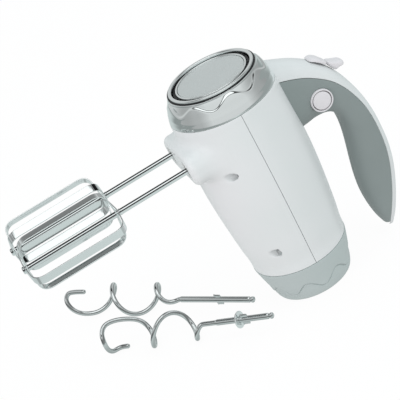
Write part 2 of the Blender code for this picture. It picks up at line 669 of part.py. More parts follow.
def fit_worm_gear(name, y, frame):
    """A wheel with its hollow spindle, bush and ejector pin, and their holes in the frame."""
    at, pivot = (0, y, SHAFT_Z), f"gear_{name}"
    cut(frame, rod(7.9, -20, -5, 20, ALONG_X, at), rod(4.4, 5, 20, 16, ALONG_X, at))
    place(f"spindle_bush_{name}", tube(7.5, SPINDLE_R + GAP, -14.5, -7.5, 16, ALONG_X, at),
          "brass")
    wheel = place(f"worm_gear_{name}", wheel_shape(y), "gear_nylon", on=pivot)
    add(wheel, rod(SPINDLE_R, -50.5, 5.0, 16, ALONG_X, at), rod(4.0, 3.0, 14.0, 12, ALONG_X, at))
    cut(wheel, rod(SPINDLE_BORE, -60, BEATER_IN + 0.6, 12, ALONG_X, at),
        rod(PIN_R + 0.4, -30, 20, 10, ALONG_X, at))
    place(f"ejector_pin_{name}", turned(EJECTOR_PIN, 8, ALONG_X, at), "steel", on=pivot)


def make_ejector():
    place("ejector_plate", block((21.0, 23.4), across(25), across(4.5, SHAFT_Z)), "steel",
          on="ejector")
    place("ejector_rod", rod(2.4, 23.8, 76.8, 12, ALONG_X, (0, EJECT_Y, SHAFT_Z)), "steel",
          on="ejector")
    steps = SPRING_TURNS * SPRING_STEPS
    coil = []
    for k in range(steps + 1):
        angle = 2 * math.pi * k / SPRING_STEPS
        coil.append((13.9 + 6.3 * k / steps, SPRING_R * math.cos(angle),
                     SHAFT_Z + SPRING_R * math.sin(angle)))
    place("eject_spring", swept(coil, 0.45, 4), "steel")


def make_gearing():
    make_worm_shaft()
    frame = make_gear_frame()
    for name, y in SIDES:
        fit_worm_gear(name, y, frame)
    make_ejector()


# =============================== beaters ==========================================
BEATER_TIP, CAGE_TOP = -199.0, -115.0  # x
STRIP_W, STRIP_T, CAGE_CORNER = 7.0, 1.0, 11.0
STRIP_NEST = 1.6  # how far the inner loop is drawn in at each end
BEATER_SHAFT_R = 2.45
# (radius, x): button at the tip, shaft, chamfered inner end
BEATER_SHAFT = [
    (0, BEATER_TIP - 1.6), (2.2, BEATER_TIP - 1.4), (3.3, BEATER_TIP - 0.3),
    (BEATER_SHAFT_R, BEATER_TIP - 0.3), (BEATER_SHAFT_R, -46.0), (BEATER_SHAFT_R, -28.0),
    (1.8, BEATER_IN), (0, BEATER_IN)]
# name, y, angle of the first strip from -Y towards +Z, cage radius
BEATERS = [("near", -SHAFT_Y, -8.0, 25.3), ("far", SHAFT_Y, 53.0, 23.3)]


def cage_half(cage_r):
    """(x, radius) points mid-strip, from the top hub to the tip."""
    top_x, tip_x, r = CAGE_TOP - 2.2, BEATER_TIP + 2.6, cage_r - STRIP_T / 2
    arc = []
    for i in range(5):
        angle = math.radians(90.0 * i / 4)
        arc.append((CAGE_CORNER * (1 - math.cos(angle)), CAGE_CORNER * (1 - math.sin(angle))))
    return ([(CAGE_TOP, 0.0), (CAGE_TOP - 0.5, 6.0)]
            + [(top_x - along, r - inward) for along, inward in arc]
            + [(tip_x + along, r - inward) for along, inward in reversed(arc)]
            + [(BEATER_TIP + 0.9, 6.0), (BEATER_TIP + 0.6, 0.0)])


def strip_loop(y, degrees, cage_r, nest):
    """Closed band of strip: out from the hub, along the cage, round the tip and back."""
    middle = (CAGE_TOP + BEATER_TIP) / 2
    half = [(x + (nest if x < middle else -nest), r) for x, r in cage_half(cage_r)]
    path = [Vector(p) for p in half] + [Vector((x, -r)) for x, r in reversed(half[1:-1])]
    angle = math.radians(degrees)
    out = Vector((0, -math.cos(angle), math.sin(angle)))
    sideways = Vector((0, math.sin(angle), math.cos(angle))) * (STRIP_W / 2)
    centre = Vector((0, y, SHAFT_Z))
    sections = []
    for k, p in enumerate(path):
        tangent = path[(k + 1) % len(path)] - path[k - 1]
        normal = Vector((-tangent.y, tangent.x)).normalized() * (STRIP_T / 2)
        corners = ((p + normal, 1), (p + normal, -1), (p - normal, -1), (p - normal, 1))
        sections.append([centre + Vector((q.x, 0, 0)) + out * q.y + sideways * sign
                         for q, sign in corners])
    return loft(sections, closed=True)


def make_beaters():
    for name, y, degrees, cage_r in BEATERS:
        at, pivot = (0, y, SHAFT_Z), f"gear_{name}"
        place(f"beater_{name}_shaft", turned(BEATER_SHAFT, 12, ALONG_X, at), "chrome", on=pivot)
        for letter, turn, nest in (("a", 0, 0.0), ("b", 90, STRIP_NEST)):
            loop = place(f"beater_{name}_loop_{letter}",
                         strip_loop(y, degrees + turn, cage_r, nest), "chrome", on=pivot)
            cut(loop, rod(BEATER_SHAFT_R + 0.3, -205, -100, 8, ALONG_X, at))


# =============================== dough hooks ======================================
HOOK_COIL_R, HOOK_WIRE_R, HOOK_SHANK_R = 12.6, 2.0, 2.5
COIL_END = 1.5  # turns, where the wire meets the shank
# bent-back tails: (turns before the first crest, distance in pitches)
TAIL_A = [(0.05, 0.05), (0.20, 0.22), (0.34, 0.39), (0.45, 0.51), (0.55, 0.64), (0.64, 0.80),
          (0.745, 0.93), (0.85, 1.0), (0.92, 0.97), (0.94, 0.84), (0.944, 0.62)]
TAIL_B = [(0.05, 0.05), (0.18, 0.17), (0.30, 0.32), (0.38, 0.54), (0.44, 0.73), (0.51, 0.86),
          (0.60, 0.90), (0.72, 0.88), (0.86, 0.90), (0.96, 0.89), (1.0, 0.80), (1.005, 0.66)]
# name, way up, place, azimuth of its shank, pitch, phase of its first crest, turns over which
# the coil runs into the shank, shank end, lugs, tail. Hook b is hook a's other hand: its
# crests point down.
HOOKS = [("a", 1, HOOK_A_AT, -54.4, 50.5, -0.095, 0.5, 156.0, 115.0, TAIL_A),
         ("b", -1, HOOK_B_AT, -44.2, 42.5, 0.065, 0.26, 118.5, 88.5, TAIL_B)]


def tail_spot(tail, position):
    """Smooth curve (Catmull-Rom) through a tail's stations, after station `position[0]`."""
    i, t = position
    last = len(tail) - 1
    around_spot = [tail[max(0, min(last, i + m))] for m in (-1, 0, 1, 2)]
    return [(2 * b + (c - a) * t + (2 * a - 5 * b + 4 * c - d) * t * t
             + (3 * b - a - 3 * c + d) * t ** 3) / 2 for a, b, c, d in zip(*around_spot)]


def hook_path(pitch, phase, run, tail):
    """Right-hand spiral's centre line: +x towards the shank, z up, crests near turns 0 and 1."""
    points = []
    # from the tail's end towards the coil
    for k in range((len(tail) - 1) * 3, 0, -1):
        i = (k - 1) // 3
        turns, distance = tail_spot(tail, (i, k / 3 - i))
        angle = -2 * math.pi * turns
        points.append(((-distance - phase) * pitch, -HOOK_COIL_R * math.sin(angle),
                       HOOK_COIL_R * math.cos(angle)))
    first, leave = -tail[0][0] - phase, 1.0 - max(phase, 0.0)
    steps = int((COIL_END - first) * 13)
    for k in range(steps + 1):
        t = first + (COIL_END - first) * k / steps
        u = max(0.0, min(1.0, (t - leave) / run))
        r = HOOK_COIL_R * (0.5 + 0.5 * math.cos(math.pi * u)) ** 0.8
        angle = 2 * math.pi * (t + phase)
        points.append((t * pitch, -r * math.sin(angle), r * math.cos(angle)))
    return points


def make_hook(name, up, place_xy, azimuth, pitch, phase, run, end, lug, tail):
    turn = Matrix.Rotation(math.radians(azimuth), 3, "Z")
    axis = turn @ Vector(ALONG_X)
    body = f"hook_{name}"
    base = Vector((*place_xy, HOOK_COIL_R + HOOK_WIRE_R)) - axis * (pitch / 2)
    path = [base + turn @ Vector((x, y, up * z)) for x, y, z in hook_path(pitch, phase, run, tail)]
    place(f"{body}_wire", swept(path, HOOK_WIRE_R, 6), "chrome", on=body)
    start, r = COIL_END * pitch + 0.9, HOOK_SHANK_R
    # (radius, distance along the shank), with a groove near the end
    profile = [(0, start), (1.6, start), (r, start + 1.2), (r, end - 5), (1.9, end - 3.6),
               (r, end - 2.2), (1.6, end), (0, end)]
    shank = place(f"{body}_shank", turned(profile, 12, axis, base), "chrome", on=body)
    lugs = block((lug, lug + 6.5), across(0.7), across(4.8))
    add(shank, moved(lugs, Matrix.Translation(base) @ turn.to_4x4()))
    if name == "b":
        place("hook_b_collar", tube(7.0, r + GAP, lug - 2.6, lug - 1.2, 16, axis, base),
              "chrome", on=body)


# =============================== cord =============================================
CORD_R = 3.0
CORD_START, CORD_REACH, CORD_STEPS = 37.0, 43.0, 14
BOOT_END = 61.0
# (radius, distance from the barrel's axis): flange inside the casing, neck through the
# wall, tapered boot outside
BOOT = [(5.6, 37.6), (5.6, 39.9), (4.5, 40.2), (4.5, 44.5), (5.8, 44.9), (5.3, 51.0),
        (4.4, BOOT_END), (3.4, BOOT_END), (3.4, 37.6)]


def make_cord():
    place("cord_strain_relief", turned(BOOT, 10, CORD_AXIS, (0, 0, CORD_Z)), "dark_plastic")
    points = []
    for k in range(CORD_STEPS + 1):
        reach = CORD_START + CORD_REACH * k / CORD_STEPS
        # past the boot the cord droops, 24 at its end
        past = max(0.0, reach - BOOT_END) / (CORD_START + CORD_REACH - BOOT_END)
        points.append(CORD_AXIS * reach + Vector((0, 0, CORD_Z - 24.0 * past ** 2)))
    place("power_cord", swept(points, CORD_R, 8), "dark_plastic")


def main():
    clear_scene()
    for name, look in MATERIALS.items():
        make_material(name, **look)
    for name, at in PIVOTS.items():
        make_pivot(name, at)
    make_casing()
    make_handle()
    make_motor()
    make_gearing()
    make_beaters()
    for hook in HOOKS:
        make_hook(*hook)
    make_cord()


main()
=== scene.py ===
"""Looks for a hand mixer with its beaters and dough hooks: fine meshes over its CAD frame.

The barrel stands on its heel. Lengths are millimetres in the frame's own coordinates: +Z up the
barrel, -X the nose with the beaters, +X the handle, "near" is -Y and "far" is +Y. make() turns
them into metres. The stage at the end (floor, world, lights, camera) is in metres.
"""

import json
import math

import bmesh
import bpy
import numpy as np
from mathutils import Matrix, Vector


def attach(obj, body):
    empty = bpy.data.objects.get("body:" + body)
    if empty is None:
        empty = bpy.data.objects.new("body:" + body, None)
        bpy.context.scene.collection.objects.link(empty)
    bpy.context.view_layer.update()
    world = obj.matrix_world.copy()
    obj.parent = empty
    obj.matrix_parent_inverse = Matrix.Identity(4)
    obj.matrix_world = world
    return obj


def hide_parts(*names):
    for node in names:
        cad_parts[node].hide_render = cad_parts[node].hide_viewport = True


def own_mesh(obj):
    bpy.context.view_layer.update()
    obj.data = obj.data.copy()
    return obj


MM = 0.001
WELD = 1e-6         # metres: closer vertices become one
SHORT_EDGE = 1e-7   # metres: shorter edges are dissolved
SHARP = 38.0        # degrees: edges bent more than this stay sharp, unless a piece says otherwise

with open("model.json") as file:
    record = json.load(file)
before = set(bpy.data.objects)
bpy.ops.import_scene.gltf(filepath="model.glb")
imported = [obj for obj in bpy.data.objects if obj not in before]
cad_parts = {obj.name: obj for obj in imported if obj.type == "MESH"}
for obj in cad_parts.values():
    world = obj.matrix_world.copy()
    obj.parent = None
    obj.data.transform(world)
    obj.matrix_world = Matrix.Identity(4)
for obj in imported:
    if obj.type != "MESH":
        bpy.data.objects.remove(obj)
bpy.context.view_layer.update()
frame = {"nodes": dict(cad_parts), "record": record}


# =============================== node tools =======================================
def wire(tree, node, inputs):
    """Fills a node's inputs: a node gives its first output, a socket is linked, a value is set."""
    for key, value in inputs.items():
        if isinstance(value, bpy.types.Node):
            value = value.outputs[0]
        if isinstance(value, bpy.types.NodeSocket):
            tree.links.new(value, node.inputs[key])
        else:
            node.inputs[key].default_value = value


def add(tree, kind, inputs=None, **settings):
    node = tree.nodes.new("ShaderNode" + kind)
    for key, value in settings.items():
        setattr(node, key, value)
    wire(tree, node, inputs or {})
    return node


def mix_colours(tree, blend, factor, one, two):
    return add(tree, "MixRGB", {"Fac": factor, 1: one, 2: two}, blend_type=blend)


def mix_shaders(tree, factor, one, two):
    return add(tree, "MixShader", {"Fac": factor, 1: one, 2: two})


def grey_ramp(tree, source, low, high, stops, tint=(1, 1, 1)):
    """Tinted greys over source; stops are (place, grey), placed in the source's own units."""
    reach = add(tree, "MapRange", {"From Min": low, "From Max": high, "Value": source})
    ramp = add(tree, "ValToRGB", {"Fac": reach})
    band = ramp.color_ramp.elements
    band.remove(band[-1])
    for k, (place, grey) in enumerate(stops):
        spot = (place - low) / (high - low)
        stop = band.new(spot) if k else band[0]
        stop.position = spot
        stop.color = (*(grey * c for c in tint), 1)
    return ramp


# =============================== materials ========================================
PATCH_SCALE = 16.0        # noise scale of the broad patches of tone
RELIEF_DEPTH = 0.0004     # metres, of the fine surface relief
COAT_ROUGHNESS = 0.12


def node_material(name, rgb, rough, metal=0.0, tone=0.02, grain=1400.0, bump=0.02,
                  rough_shift=0.04, coat=0.0, sheen=0.0, brushed=None, specular=0.5,
                  tint=None, reflection_bands=None):
    """Principled material whose tone, roughness and surface all come from noise.

    tone: share by which patches darken and lighten; tint: colour of the light patches, if not rgb
    grain: scale of the fine noise; brushed: stretch of that noise along x, y, z
    bump: strength of the relief; rough_shift: how far roughness strays to either side of rough
    reflection_bands: painted reflections, as (component, grey) stops over a normal's axis that
    multiply the colour
    """
    mat = bpy.data.materials.new(name)
    mat.use_nodes = True
    tree = mat.node_tree
    place = add(tree, "TexCoord").outputs["Object"]
    broad = add(tree, "TexNoise", {"Scale": PATCH_SCALE, "Detail": 4.0, "Vector": place})
    colour = add(tree, "ValToRGB", {"Fac": broad})
    dark, light = colour.color_ramp.elements
    dark.position, light.position = 0.3, 0.7
    dark.color = (*(c * (1 - tone) for c in rgb), 1)
    light.color = (*(c * (1 + tone) for c in tint or rgb), 1)
    for axis, stops in (reflection_bands or {}).items():
        # painted reflections: dark and light bands that follow the way the surface faces
        normal = add(tree, "NewGeometry").outputs["Normal"]
        facing = add(tree, "SeparateXYZ", {0: normal}).outputs[axis]
        reflection_band = grey_ramp(tree, facing, -1.0, 1.0, stops)
        colour = mix_colours(tree, "MULTIPLY", 1.0, colour, reflection_band)
    if brushed:
        place = add(tree, "Mapping", {"Scale": brushed, "Vector": place})
    fine = add(tree, "TexNoise", {"Scale": grain, "Detail": 3.0, "Vector": place})
    roughness = add(tree, "MapRange", {
        "To Min": rough - rough_shift, "To Max": rough + rough_shift,
        "Value": fine if brushed else broad})
    relief = add(tree, "Bump", {"Strength": bump, "Distance": RELIEF_DEPTH, "Height": fine})
    wire(tree, tree.nodes["Principled BSDF"], {
        "Base Color": colour, "Roughness": roughness, "Normal": relief, "Metallic": metal,
        "Specular IOR Level": specular, "Coat Weight": coat, "Coat Roughness": COAT_ROUGHNESS,
        "Sheen Weight": sheen})
    mat.diffuse_color = (*rgb, 1.0)
    return mat


SLOTS = {
    "body_white": node_material(
        "body_white_plastic", rgb=(0.677, 0.716, 0.709), rough=0.30, tone=0.012, bump=0.006,
        coat=0.15, specular=0.35, tint=(0.692, 0.712, 0.713)),
    "grip_grey": node_material(
        "grip_soft_touch", rgb=(0.240, 0.280, 0.273), rough=0.62, tone=0.05, grain=2600,
        bump=0.10, sheen=0.15, specular=0.3),
    "heel_grey": node_material(
        "heel_satin_plastic", rgb=(0.445, 0.507, 0.498), rough=0.42, tone=0.02, grain=2200,
        bump=0.04, specular=0.35),
    "chrome": node_material(
        "polished_chrome", rgb=(0.93, 0.96, 0.96), rough=0.06, metal=1.0, tone=0.01,
        bump=0.004, rough_shift=0.03),
    "brushed_plate": node_material(
        "brushed_emblem_plate", rgb=(0.86, 0.91, 0.91), rough=0.34, metal=1.0, tone=0.03,
        grain=1.0, bump=0.010, brushed=(260, 4200, 260), rough_shift=0.10),
    "control_pale": node_material(
        "control_satin_plastic", rgb=(0.705, 0.690, 0.705), rough=0.38, tone=0.02, grain=1900,
        bump=0.05, specular=0.35),
    "dark_plastic": node_material(
        "dark_moulded_plastic", rgb=(0.010, 0.010, 0.012), rough=0.42, tone=0.15, grain=1800,
        bump=0.05, specular=0.25),
    "cord_rubber": node_material(
        "cord_rubber_black", rgb=(0.030, 0.030, 0.033), rough=0.62, tone=0.12, grain=2400,
        bump=0.14),
    "steel": node_material(
        "machined_steel", rgb=(0.56, 0.57, 0.58), rough=0.26, metal=1.0, tone=0.05, bump=0.05),
    "laminated_iron": node_material(
        "stacked_laminations", rgb=(0.33, 0.34, 0.35), rough=0.5, metal=1.0, tone=0.1,
        grain=1.0, bump=0.35, brushed=(60, 60, 2400)),
    "copper": node_material(
        "enamelled_copper", rgb=(0.66, 0.27, 0.12), rough=0.30, metal=1.0, tone=0.1,
        grain=1.0, bump=0.4, brushed=(1600, 1600, 120), coat=0.3),
    "brass": node_material(
        "sintered_brass", rgb=(0.66, 0.50, 0.24), rough=0.34, metal=1.0, tone=0.08, bump=0.15),
    "carbon": node_material(
        "pressed_carbon", rgb=(0.035, 0.035, 0.036), rough=0.6, tone=0.2, grain=2600, bump=0.25),
    "zinc_casting": node_material(
        "die_cast_zinc", rgb=(0.52, 0.53, 0.54), rough=0.46, metal=1.0, tone=0.07, grain=900,
        bump=0.25),
    "gear_nylon": node_material(
        "gear_nylon_natural", rgb=(0.72, 0.69, 0.58), rough=0.4, tone=0.03, bump=0.04),
}


def strip_chrome(name, flat, shoulder):
    """Rolled strip with painted reflections: flat is the painted reflection tone of faces that
    look up, shoulder of bends that look to +X.
    """
    # painted reflection bands over the normal's Z (up and down) and X (along the beater)
    up_down = [(-1, 0.6), (-0.96, 0.6), (-0.90, 1), (0.90, 1), (0.965, flat), (1, flat * 0.85)]
    along = [(-1, 1), (-0.74, 1), (-0.70, 0.62), (-0.52, 0.62), (-0.48, 1), (0.42, 1),
             (0.46, shoulder), (0.76, shoulder), (0.80, 1), (1, 1)]
    return node_material(name, rgb=(0.93, 0.96, 0.96), rough=0.11, metal=1.0, tone=0.03,
                         grain=1.0, bump=0.015, brushed=(60, 1500, 1500), rough_shift=0.05,
                         reflection_bands={"Z": up_down, "X": along})


# four copies of the strip chrome, each with its own painted reflection tones
STRIP_CHROME = {
    ("near", "a"): strip_chrome("strip_chrome_near_a", flat=0.40, shoulder=0.70),
    ("near", "b"): strip_chrome("strip_chrome_near_b", flat=0.40, shoulder=0.62),
    ("far", "a"): strip_chrome("strip_chrome_far_a", flat=0.80, shoulder=0.02),
    ("far", "b"): strip_chrome("strip_chrome_far_b", flat=0.80, shoulder=0.70),
}
# shaft chrome with painted reflections: dark bands over the normal's Z
SHAFT_CHROME = node_material(
    "shaft_chrome", rgb=(0.95, 0.98, 0.98), rough=0.08, metal=1.0, tone=0.01, bump=0.003,
    rough_shift=0.03,
    reflection_bands={"Z": [(-1, 0.9), (0.20, 1), (0.27, 0.03), (0.50, 0.03), (0.57, 1.0), (0.80, 1.0),
                   (0.85, 0.05), (1, 0.12)]})
# hook chrome, set darker than the polished chrome, with painted reflection bands over the normal's
# Z
HOOK_CHROME = node_material(
    "hook_chrome", rgb=(0.86, 0.89, 0.89), rough=0.12, metal=1.0, tone=0.03, bump=0.004,
    rough_shift=0.04,
    reflection_bands={"Z": [(-1, 0.45), (-0.2, 0.72), (0.10, 0.92), (0.24, 0.34), (0.44, 0.28),
                   (0.58, 1.0), (0.86, 1.0), (0.94, 0.50), (1, 0.55)]})


def dress_frame():
    """Gives every CAD piece of the frame the material of its slot."""
    for entry in frame["record"]["subparts"]:
        if entry["node"] in frame["nodes"]:
            materials = frame["nodes"][entry["node"]].data.materials
            materials.clear()
            materials.append(SLOTS[entry["material_slot"]])


# =============================== mesh tools =======================================
# A shape is a pair: points in millimetres, and faces as tuples of point numbers.
def add_object(name, data):
    obj = bpy.data.objects.new(name, data)
    bpy.context.scene.collection.objects.link(obj)
    return obj


def shape_mesh(name, shape):
    """Welded mesh in metres, its normals outward."""
    points, faces = shape
    mesh = bpy.data.meshes.new(name)
    mesh.from_pydata((np.asarray(points, dtype=float) * MM).tolist(), [], faces)
    bm = bmesh.new()
    bm.from_mesh(mesh)
    bmesh.ops.remove_doubles(bm, verts=bm.verts, dist=WELD)
    bmesh.ops.dissolve_degenerate(bm, edges=bm.edges, dist=SHORT_EDGE)
    bmesh.ops.recalc_face_normals(bm, faces=bm.faces)
    bm.to_mesh(mesh)
    bm.free()
    return mesh


def shade(mesh, angle=SHARP):
    mesh.shade_smooth()
    mesh.set_sharp_from_angle(angle=math.radians(angle))


def make(name, shape, slot, body="housing", replaces=None, angle=SHARP, finish=None):
    """Object that rides a body; finish overrides the slot's own material."""
    mesh = shape_mesh(name, shape)
    shade(mesh, angle)
    mesh.materials.append(finish or SLOTS[slot])
    obj = add_object(name, mesh)
    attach(obj, body)
    if replaces:
        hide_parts(replaces)
    return obj


def skin(node, shape, slot, body="housing", **look):
    """The piece that replaces one CAD node and is named after it."""
    return make(f"{node}_skin", shape, slot, body, node, **look)


def cut(obj, name, shape):
    """Cuts a shape out of obj for good."""
    cutter = add_object(name, shape_mesh(name, shape))
    mod = obj.modifiers.new("cut", "BOOLEAN")
    mod.operation, mod.object, mod.solver = "DIFFERENCE", cutter, "EXACT"
    deps = bpy.context.evaluated_depsgraph_get()
    done = bpy.data.meshes.new_from_object(obj.evaluated_get(deps))
    obj.modifiers.clear()
    obj.data = done
    bpy.data.objects.remove(cutter)
    shade(done)


def fillet(corners, closed=False, steps=5):
    """Rounds a polyline of (a, b, radius) corners, each with steps + 1 points.

    A corner of radius 0, and either end of an open line, stays a single point.
    """
    points = []
    count = len(corners)
    for i, (a, b, radius) in enumerate(corners):
        corner = np.array([a, b], float)
        if radius <= 0 or (not closed and i in (0, count - 1)):
            points.append((a, b))
            continue
        back = np.array(corners[i - 1][:2], float) - corner
        ahead = np.array(corners[(i + 1) % count][:2], float) - corner
        back_length, ahead_length = np.linalg.norm(back), np.linalg.norm(ahead)
        back, ahead = back / back_length, ahead / ahead_length
        half = math.acos(max(-1.0, min(1.0, float(back @ ahead)))) / 2
        trim = min(radius / max(math.tan(half), 1e-3), 0.49 * back_length, 0.49 * ahead_length)
        start, end = corner + back * trim, corner + ahead * trim
        for k in range(steps + 1):
            s = k / steps
            point = (1 - s) ** 2 * start + 2 * s * (1 - s) * corner + s ** 2 * end
            points.append(tuple(point.tolist()))
    return points


def spline(rows, per, closed=False):
    """Catmull-Rom curve through rows of equal length, with per steps between rows."""
    rows = np.asarray(rows, float)
    count = len(rows)
    curve = []
    for i in range(count if closed else count - 1):
        before, start, end, after = (
            rows[(i + m) % count] if closed else rows[min(max(i + m, 0), count - 1)]
            for m in (-1, 0, 1, 2))
        for k in range(per):
            t = k / per
            curve.append((2 * start + (end - before) * t
                          + (2 * before - 5 * start + 4 * end - after) * t * t
                          + (3 * start - before - 3 * end + after) * t ** 3) / 2)
    if not closed:
        curve.append(rows[-1])
    return np.array(curve)


def loop_faces(rows, count, closed):
    """Quads between successive loops of count points; closed joins the last loop to the first."""
    faces = []
    for i in range(rows if closed else rows - 1):
        here, there = i * count, ((i + 1) % rows) * count
        for j in range(count):
            k = (j + 1) % count
            faces.append((here + j, here + k, there + k, there + j))
    return faces


def turned(profile, segs=96, axis=(0, 0, 1), at=(0, 0, 0), shift=None):
    """Revolves (radius, height) points; the profile closes on itself unless both ends are on axis.

    shift(theta, radius, height) may move the points.
    """
    profile = np.asarray(profile, float)
    closed = not (profile[0][0] < 1e-9 and profile[-1][0] < 1e-9)
    theta = np.repeat((np.arange(segs) * 2 * math.pi / segs)[None, :], len(profile), 0)
    radius = np.repeat(profile[:, 0][:, None], segs, 1)
    height = np.repeat(profile[:, 1][:, None], segs, 1)
    if shift:
        radius, height = shift(theta, radius, height)
    local = np.stack([radius * np.cos(theta), radius * np.sin(theta), height], -1).reshape(-1, 3)
    turn = np.array(Vector((0, 0, 1)).rotation_difference(Vector(axis)).to_matrix())
    return local @ turn.T + np.array(at, float), loop_faces(len(profile), segs, closed)


def loft(sections):
    """Closed loops of equal length joined into a capped solid."""
    sections = [np.asarray(s, float) for s in sections]
    count = len(sections[0])
    faces = loop_faces(len(sections), count, False)
    faces.append(tuple(range(count - 1, -1, -1)))
    faces.append(tuple((len(sections) - 1) * count + i for i in range(count)))
    return np.concatenate(sections), faces


def tube(path, radius, sides):
    """Round bar with domed ends along a path."""
    def dome(end, beside):
        outward = (end - beside) / np.linalg.norm(end - beside)
        return [(end + outward * radius * math.sin(a), radius * math.cos(a))
                for a in np.radians([88, 65, 42, 20])]

    bar = dome(path[0], path[1]) + [(p, radius) for p in path] + dome(path[-1], path[-2])[::-1]
    centres = np.array([p for p, _ in bar])
    tangents = np.gradient(centres, axis=0)
    tangents /= np.linalg.norm(tangents, axis=1)[:, None]
    side = Vector(tangents[0]).orthogonal().normalized()
    theta = np.arange(sides) * 2 * math.pi / sides
    sections = []
    for (centre, size), tangent in zip(bar, tangents):
        tangent = Vector(tangent)
        side = (side - tangent * side.dot(tangent)).normalized()
        up = tangent.cross(side)
        sections.append(
            centre + size * (np.outer(np.cos(theta), side) + np.outer(np.sin(theta), up)))
    return loft(sections)


def pillow(outline, half, power, per=8, layers=24):
    """Soft block: an XZ outline, half thick to either side in Y, that shrinks to both sides."""
    line = spline(outline, per, closed=True)
    centre = line.mean(0)
    sections = []
    for k in range(layers + 1):
        depth = math.sin(math.radians(-89 + 178 * k / layers))
        loop = centre + (line - centre) * (1 - abs(depth) ** power) ** (1 / power)
        sections.append(np.stack([loop[:, 0], np.full(len(loop), half * depth), loop[:, 1]], 1))
    return loft(sections)


def surface_nets(field, low, high, step):
    """Closed mesh of field = 0 on a grid: a point per mixed cell, a face per crossed edge."""
    axes = [np.arange(low[i], high[i] + step, step) for i in range(3)]
    shape = [len(a) for a in axes]
    value = np.empty(shape)
    grid_y, grid_z = np.meshgrid(axes[1], axes[2], indexing="ij")
    for i, x in enumerate(axes[0]):
        value[i] = field(np.full(grid_y.shape, x), grid_y, grid_z)
    inside = value < 0
    cells = [n - 1 for n in shape]

    # each cell's point is the mean of the crossings on its twelve edges
    count = np.zeros(cells)
    total = np.zeros((*cells, 3))
    base = np.stack(np.meshgrid(*[a[:-1] for a in axes], indexing="ij"), -1)
    for axis in range(3):
        across = [o for o in range(3) if o != axis]
        for corner in ((0, 0), (0, 1), (1, 0), (1, 1)):
            start = [0, 0, 0]
            start[across[0]], start[across[1]] = corner
            end = list(start)
            end[axis] += 1
            first = tuple(slice(start[i], start[i] + cells[i]) for i in range(3))
            second = tuple(slice(end[i], end[i] + cells[i]) for i in range(3))
            crossed = inside[first] != inside[second]
            drop = np.where(crossed, value[first] - value[second], 1.0)
            offset = np.zeros((*cells, 3))
            offset[..., across[0]], offset[..., across[1]] = corner[0] * step, corner[1] * step
            offset[..., axis] = np.where(crossed, value[first] / drop, 0.0) * step
            total += np.where(crossed[..., None], base + offset, 0.0)
            count += crossed
    used = count > 0
    index = -np.ones(cells, int)
    index[used] = np.arange(used.sum())
    points = total[used] / count[used][:, None]

    # each crossed grid edge is ringed by four cells
    faces = []
    for axis in range(3):
        a, b = [o for o in range(3) if o != axis]
        first, second = [slice(None)] * 3, [slice(None)] * 3
        first[axis], second[axis] = slice(0, -1), slice(1, None)
        edge = np.argwhere(inside[tuple(first)] != inside[tuple(second)])
        edge = edge[(edge[:, a] > 0) & (edge[:, b] > 0)
                    & (edge[:, a] < shape[a] - 1) & (edge[:, b] < shape[b] - 1)]
        ring = []
        for step_a, step_b in ((-1, -1), (0, -1), (0, 0), (-1, 0)):
            cell = edge.copy()
            cell[:, a] += step_a
            cell[:, b] += step_b
            ring.append(index[cell[:, 0], cell[:, 1], cell[:, 2]])
        faces.append(np.stack(ring, 1))
    faces = np.concatenate(faces)
    return points, faces[(faces >= 0).all(1)]


def project(field, points, rounds=4, probe=0.04, longest=0.5):
    """Slides points onto field = 0 along its slope, no further than longest in a round."""
    points = points.copy()
    for _ in range(rounds):
        value = field(*points.T)
        slope = np.stack([(field(*(points + d).T) - field(*(points - d).T)) / (2 * probe)
                          for d in np.eye(3) * probe], 1)
        steepness = np.maximum((slope * slope).sum(1), 0.05)
        move = -(value / steepness)[:, None] * slope
        length = np.linalg.norm(move, axis=1)
        move *= (np.minimum(length, longest) / np.maximum(length, 1e-9))[:, None]
        points += move
    return points


# =============================== casing ===========================================
# barrel outline: height, radius
BARREL = [
    (0.0, 31.4), (2.0, 33.0), (6.0, 34.5), (12.0, 35.7), (24.0, 38.6), (31.9, 40.2),
    (40.0, 40.6), (52.0, 42.2), (70.0, 44.0), (90.0, 45.6), (110.0, 46.6), (125.0, 46.7),
    (150.0, 46.2), (171.0, 45.4), (177.9, 45.1), (183.0, 43.4), (187.0, 42.0),
    (192.0, 40.4), (196.0, 38.6), (198.4, 37.0), (199.8, 34.9)]
BARREL_SCALE = 0.98                 # evens out the barrel's distance on its sloping wall
BODY_BOTTOM, BODY_TOP = 31.9, 177.6
HALF_GAP = 0.17                     # from the parting plane to either half
LIP_DEPTHS = (0.28, 2.0)            # radial steps that turn the edges of a half inward
SHAFT_Y, SHAFT_Z = 19.5, 149.1      # beater axes, at -Y and +Y
NOSE_TIP, NOSE_ROOT = -53.5, -20.0  # x ends of the nose boss
NOSE_HALF_Y, NOSE_HALF_Z, NOSE_CORNER = 34.5, 13.8, 12.2
NOSE_EDGE = 5.5                     # rounding of the boss's two ends
NOSE_BLEND = 8.0                    # how softly boss and barrel merge
# holes sunk from -X, on both sides of y = 0: y, z, radius, x of the floor, softness of the rim
HOLES = [(SHAFT_Y, SHAFT_Z, 6.8, -42.0, 1.0),   # beater socket
         (36.8, 133.0, 3.35, -21.2, 1.1),       # screw recesses
         (34.6, 54.9, 3.35, -21.2, 1.1)]
SKIN_LOW, SKIN_HIGH = (-57, -50.3, 28.7), (50.4, 50.4, 181)   # grid that holds the body
SKIN_STEP, QUICK_STEP = 0.85, 1.6
RING_BOTTOM = 178.0


